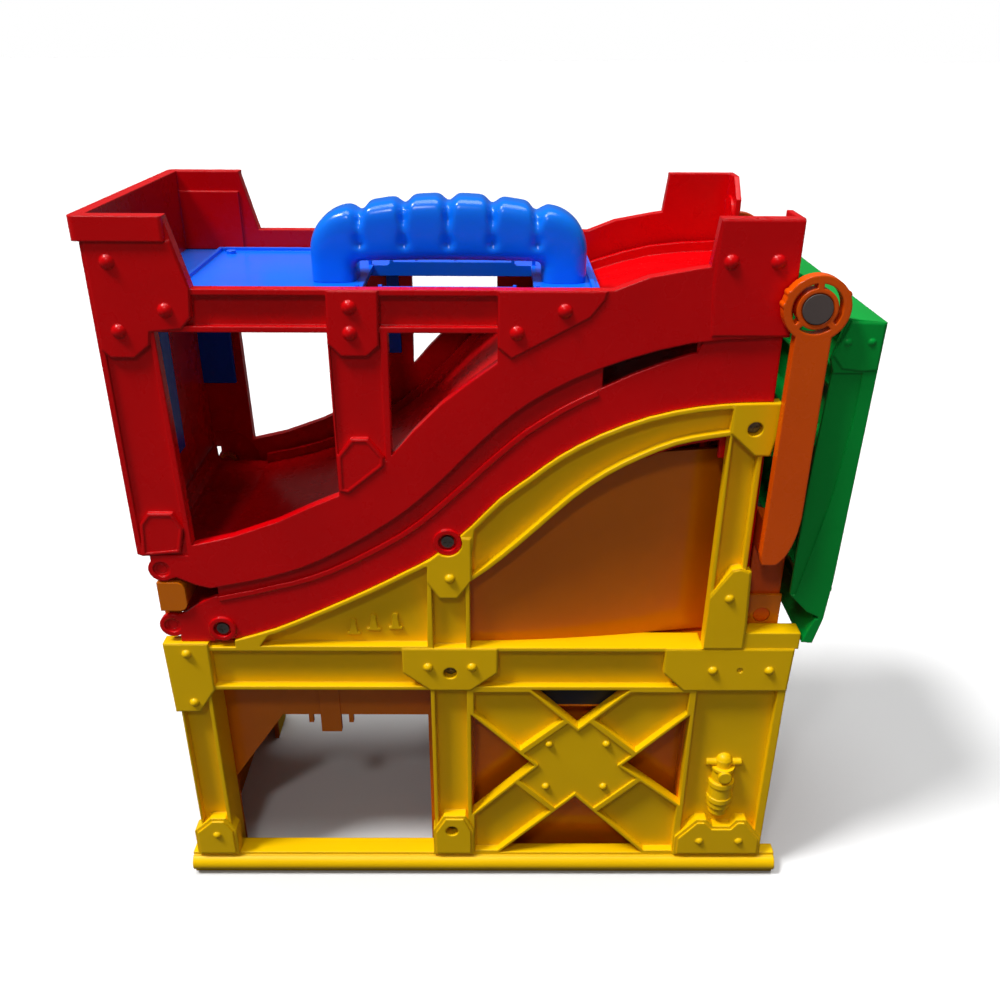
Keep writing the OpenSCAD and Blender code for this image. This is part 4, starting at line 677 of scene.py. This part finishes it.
@dataclass
class Studio:
    """Camera at the photograph's place, white floor and the lamps.

    Attributes:
        place: Where the camera stands.
        focal_px: Focal length in pixels of the photograph.
        image_px: Edge length of the photograph in pixels.
        sensor: Sensor width in millimetres.
        near: Nearest distance that the camera shows.
        pitch: Angle that the view points down, degrees.
        yaw: Angle that it turns from +Y towards +X, degrees.
        roll: Angle that the image axes turn about it, degrees.
        floor_x: Left and right end of the floor.
        floor_y: Near and far end of the floor.
        floor_step: Edge length of the floor's squares.
        floor_gap: How far the floor lies under the garage.
        matt: Roughness of the floor.
        paper: White that the camera sees on the floor.
        bounce: White that the floor throws back on the garage.
        ambient: Strength of the world on the garage.
        backdrop: Strength of the world that the camera sees, plain white.
        lamps: The steep soft key from the left, the overhead sky lamp and the small front glint.
    """

    place: Triple = (0.0037, -0.5518, 0.5171)
    focal_px: float = 955.4
    image_px: float = 1000.0
    sensor: float = 36.0
    near: float = 0.01
    pitch: float = 26.48
    yaw: float = 0.38
    roll: float = -0.34
    floor_x: tuple[float, float] = (-8.0, 8.0)
    floor_y: tuple[float, float] = (-4.0, 16.0)
    floor_step: float = 1.0
    floor_gap: float = 0.0002
    matt: float = 0.8
    paper: float = 0.80
    bounce: float = 0.09
    ambient: float = 0.10
    backdrop: float = 1.0
    lamps: tuple[Sun | Panel, ...] = (
        Sun("key", (-0.55, -0.22, 1.0), 2.8, 12.0),
        Sun("overhead", (0.02, 0.02, 1.0), 1.9, 40.0),
        Panel("glint", (-0.25, -0.95, 1.25), (0.0, 0.0, 0.36), 0.12, 2.6),
    )

    def build(self) -> None:
        """Set up camera, floor, lamps and world."""
        self.camera()
        self.floor()
        for lamp in self.lamps:
            lamp.light()
        self.world()

    def camera(self) -> None:
        """Set up the camera from its fitted angles.

        The view axis is yawed from +Y towards +X and pitched down; roll turns the image axes
        about it.
        """
        pitch, yaw, roll = (math.radians(a) for a in (self.pitch, self.yaw, self.roll))
        ahead = np.array([math.sin(yaw) * math.cos(pitch), math.cos(yaw) * math.cos(pitch),
                          -math.sin(pitch)])
        right = np.array([math.cos(yaw), -math.sin(yaw), 0.0])
        down = np.cross(ahead, right)
        image_right = math.cos(roll) * right + math.sin(roll) * down
        image_down = -math.sin(roll) * right + math.cos(roll) * down
        data = bpy.data.cameras.new("view")
        data.sensor_width = self.sensor
        data.sensor_fit = "HORIZONTAL"
        data.lens = self.focal_px / self.image_px * self.sensor
        data.clip_start = self.near
        obj = bpy.data.objects.new("view", data)
        place_view(obj, self.place, (image_right, -image_down, -ahead))
        bpy.context.scene.camera = obj

    def floor(self) -> None:
        """Lay the white floor, a flat sheet of squares just under the garage."""
        x, y = (np.arange(ends[0], ends[1] + self.floor_step / 2, self.floor_step)
                for ends in (self.floor_x, self.floor_y))
        u, v = np.meshgrid(x, y, indexing="ij")
        sheet = np.stack([u, v, np.full_like(u, -self.floor_gap)], axis=-1)
        obj = mesh_from_grid("studio_floor", sheet)
        mat, shader = blank_material("white floor")
        tree = mat.node_tree
        shader.inputs["Roughness"].default_value = self.matt
        shader.inputs["Specular IOR Level"].default_value = 0.0
        seen = tree.nodes.new("ShaderNodeLightPath").outputs["Is Camera Ray"]
        white = blend_colours(tree, seen, (self.bounce,) * 3, (self.paper,) * 3)
        tree.links.new(white, shader.inputs["Base Color"])
        obj.data.materials.append(mat)

    def world(self) -> None:
        """Set up the world: a weak even light, and plain white where the camera sees it."""
        world = bpy.data.worlds.new("studio")
        bpy.context.scene.world = world
        world.use_nodes = True
        tree = world.node_tree
        seen = tree.nodes.new("ShaderNodeLightPath").outputs["Is Camera Ray"]
        mix = tree.nodes.new("ShaderNodeMixShader")
        tree.links.new(seen, mix.inputs["Fac"])
        skies = (tree.nodes["Background"], tree.nodes.new("ShaderNodeBackground"))
        strengths = (self.ambient, self.backdrop)
        for socket, sky, strength in zip(list(mix.inputs)[1:], skies, strengths):
            sky.inputs["Color"].default_value = (1.0, 1.0, 1.0, 1.0)
            sky.inputs["Strength"].default_value = strength
            tree.links.new(sky.outputs["Background"], socket)
        tree.links.new(mix.outputs["Shader"], tree.nodes["World Output"].inputs["Surface"])


def mesh_object(name: str, points: np.ndarray, faces: list[list[int]],
                smooth: np.ndarray) -> bpy.types.Object:
    """Make a linked mesh object.

    Args:
        name: Object name.
        points: Array of points, the last axis x, y, z.
        faces: Point numbers of each face.
        smooth: Whether each face is shaded smooth.

    Returns:
        The object.
    """
    mesh = bpy.data.meshes.new(name)
    mesh.from_pydata(points.reshape(-1, 3).tolist(), [], faces)
    mesh.polygons.foreach_set("use_smooth", smooth)
    mesh.update()
    obj = bpy.data.objects.new(name, mesh)
    bpy.context.scene.collection.objects.link(obj)
    return obj


def mesh_from_grid(name: str, grid: np.ndarray) -> bpy.types.Object:
    """Make a flat-shaded sheet from a grid of points.

    Neighbouring grid points (i, j), (i+1, j), (i+1, j+1), (i, j+1) form one face.

    Args:
        name: Object name.
        grid: Array (m, n, 3) of points.

    Returns:
        The linked object.
    """
    m, n = grid.shape[:2]
    idx = np.arange(m * n).reshape(m, n)
    corners = [idx[:-1, :-1], idx[1:, :-1], idx[1:, 1:], idx[:-1, 1:]]
    faces = np.stack(corners, axis=-1).reshape(-1, 4)
    return mesh_object(name, grid, faces.tolist(), np.zeros(len(faces), bool))


def mesh_from_rings(name: str, rings: np.ndarray) -> bpy.types.Object:
    """Make a closed tube from rings of points, its two ends filled by flat caps.

    Neighbouring points (i, j), (i+1, j), (i+1, j+1), (i, j+1) form one face; j wraps round.

    Args:
        name: Object name.
        rings: Array (m, n, 3) of points.

    Returns:
        The linked object, smooth except at its caps.
    """
    m, n = rings.shape[:2]
    idx = np.arange(m * n).reshape(m, n)
    nxt = np.roll(idx, -1, axis=1)
    sides = np.stack([idx[:-1], idx[1:], nxt[1:], nxt[:-1]], axis=-1).reshape(-1, 4)
    caps = [idx[0].tolist(), idx[-1, ::-1].tolist()]
    smooth = np.arange(len(sides) + len(caps)) < len(sides)
    return mesh_object(name, rings, sides.tolist() + caps, smooth)


def main() -> None:
    """Load the frame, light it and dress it."""
    logging.basicConfig(level=logging.INFO)
    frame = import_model()
    Studio().build()
    finisher = Finisher()
    for group in (Base, LowerRamp, UpperStorey, CarryHandle, Lift):
        group(frame, finisher).finish()
    bpy.context.scene.view_settings.view_transform = "Standard"


if __name__ == "__main__":
    main()
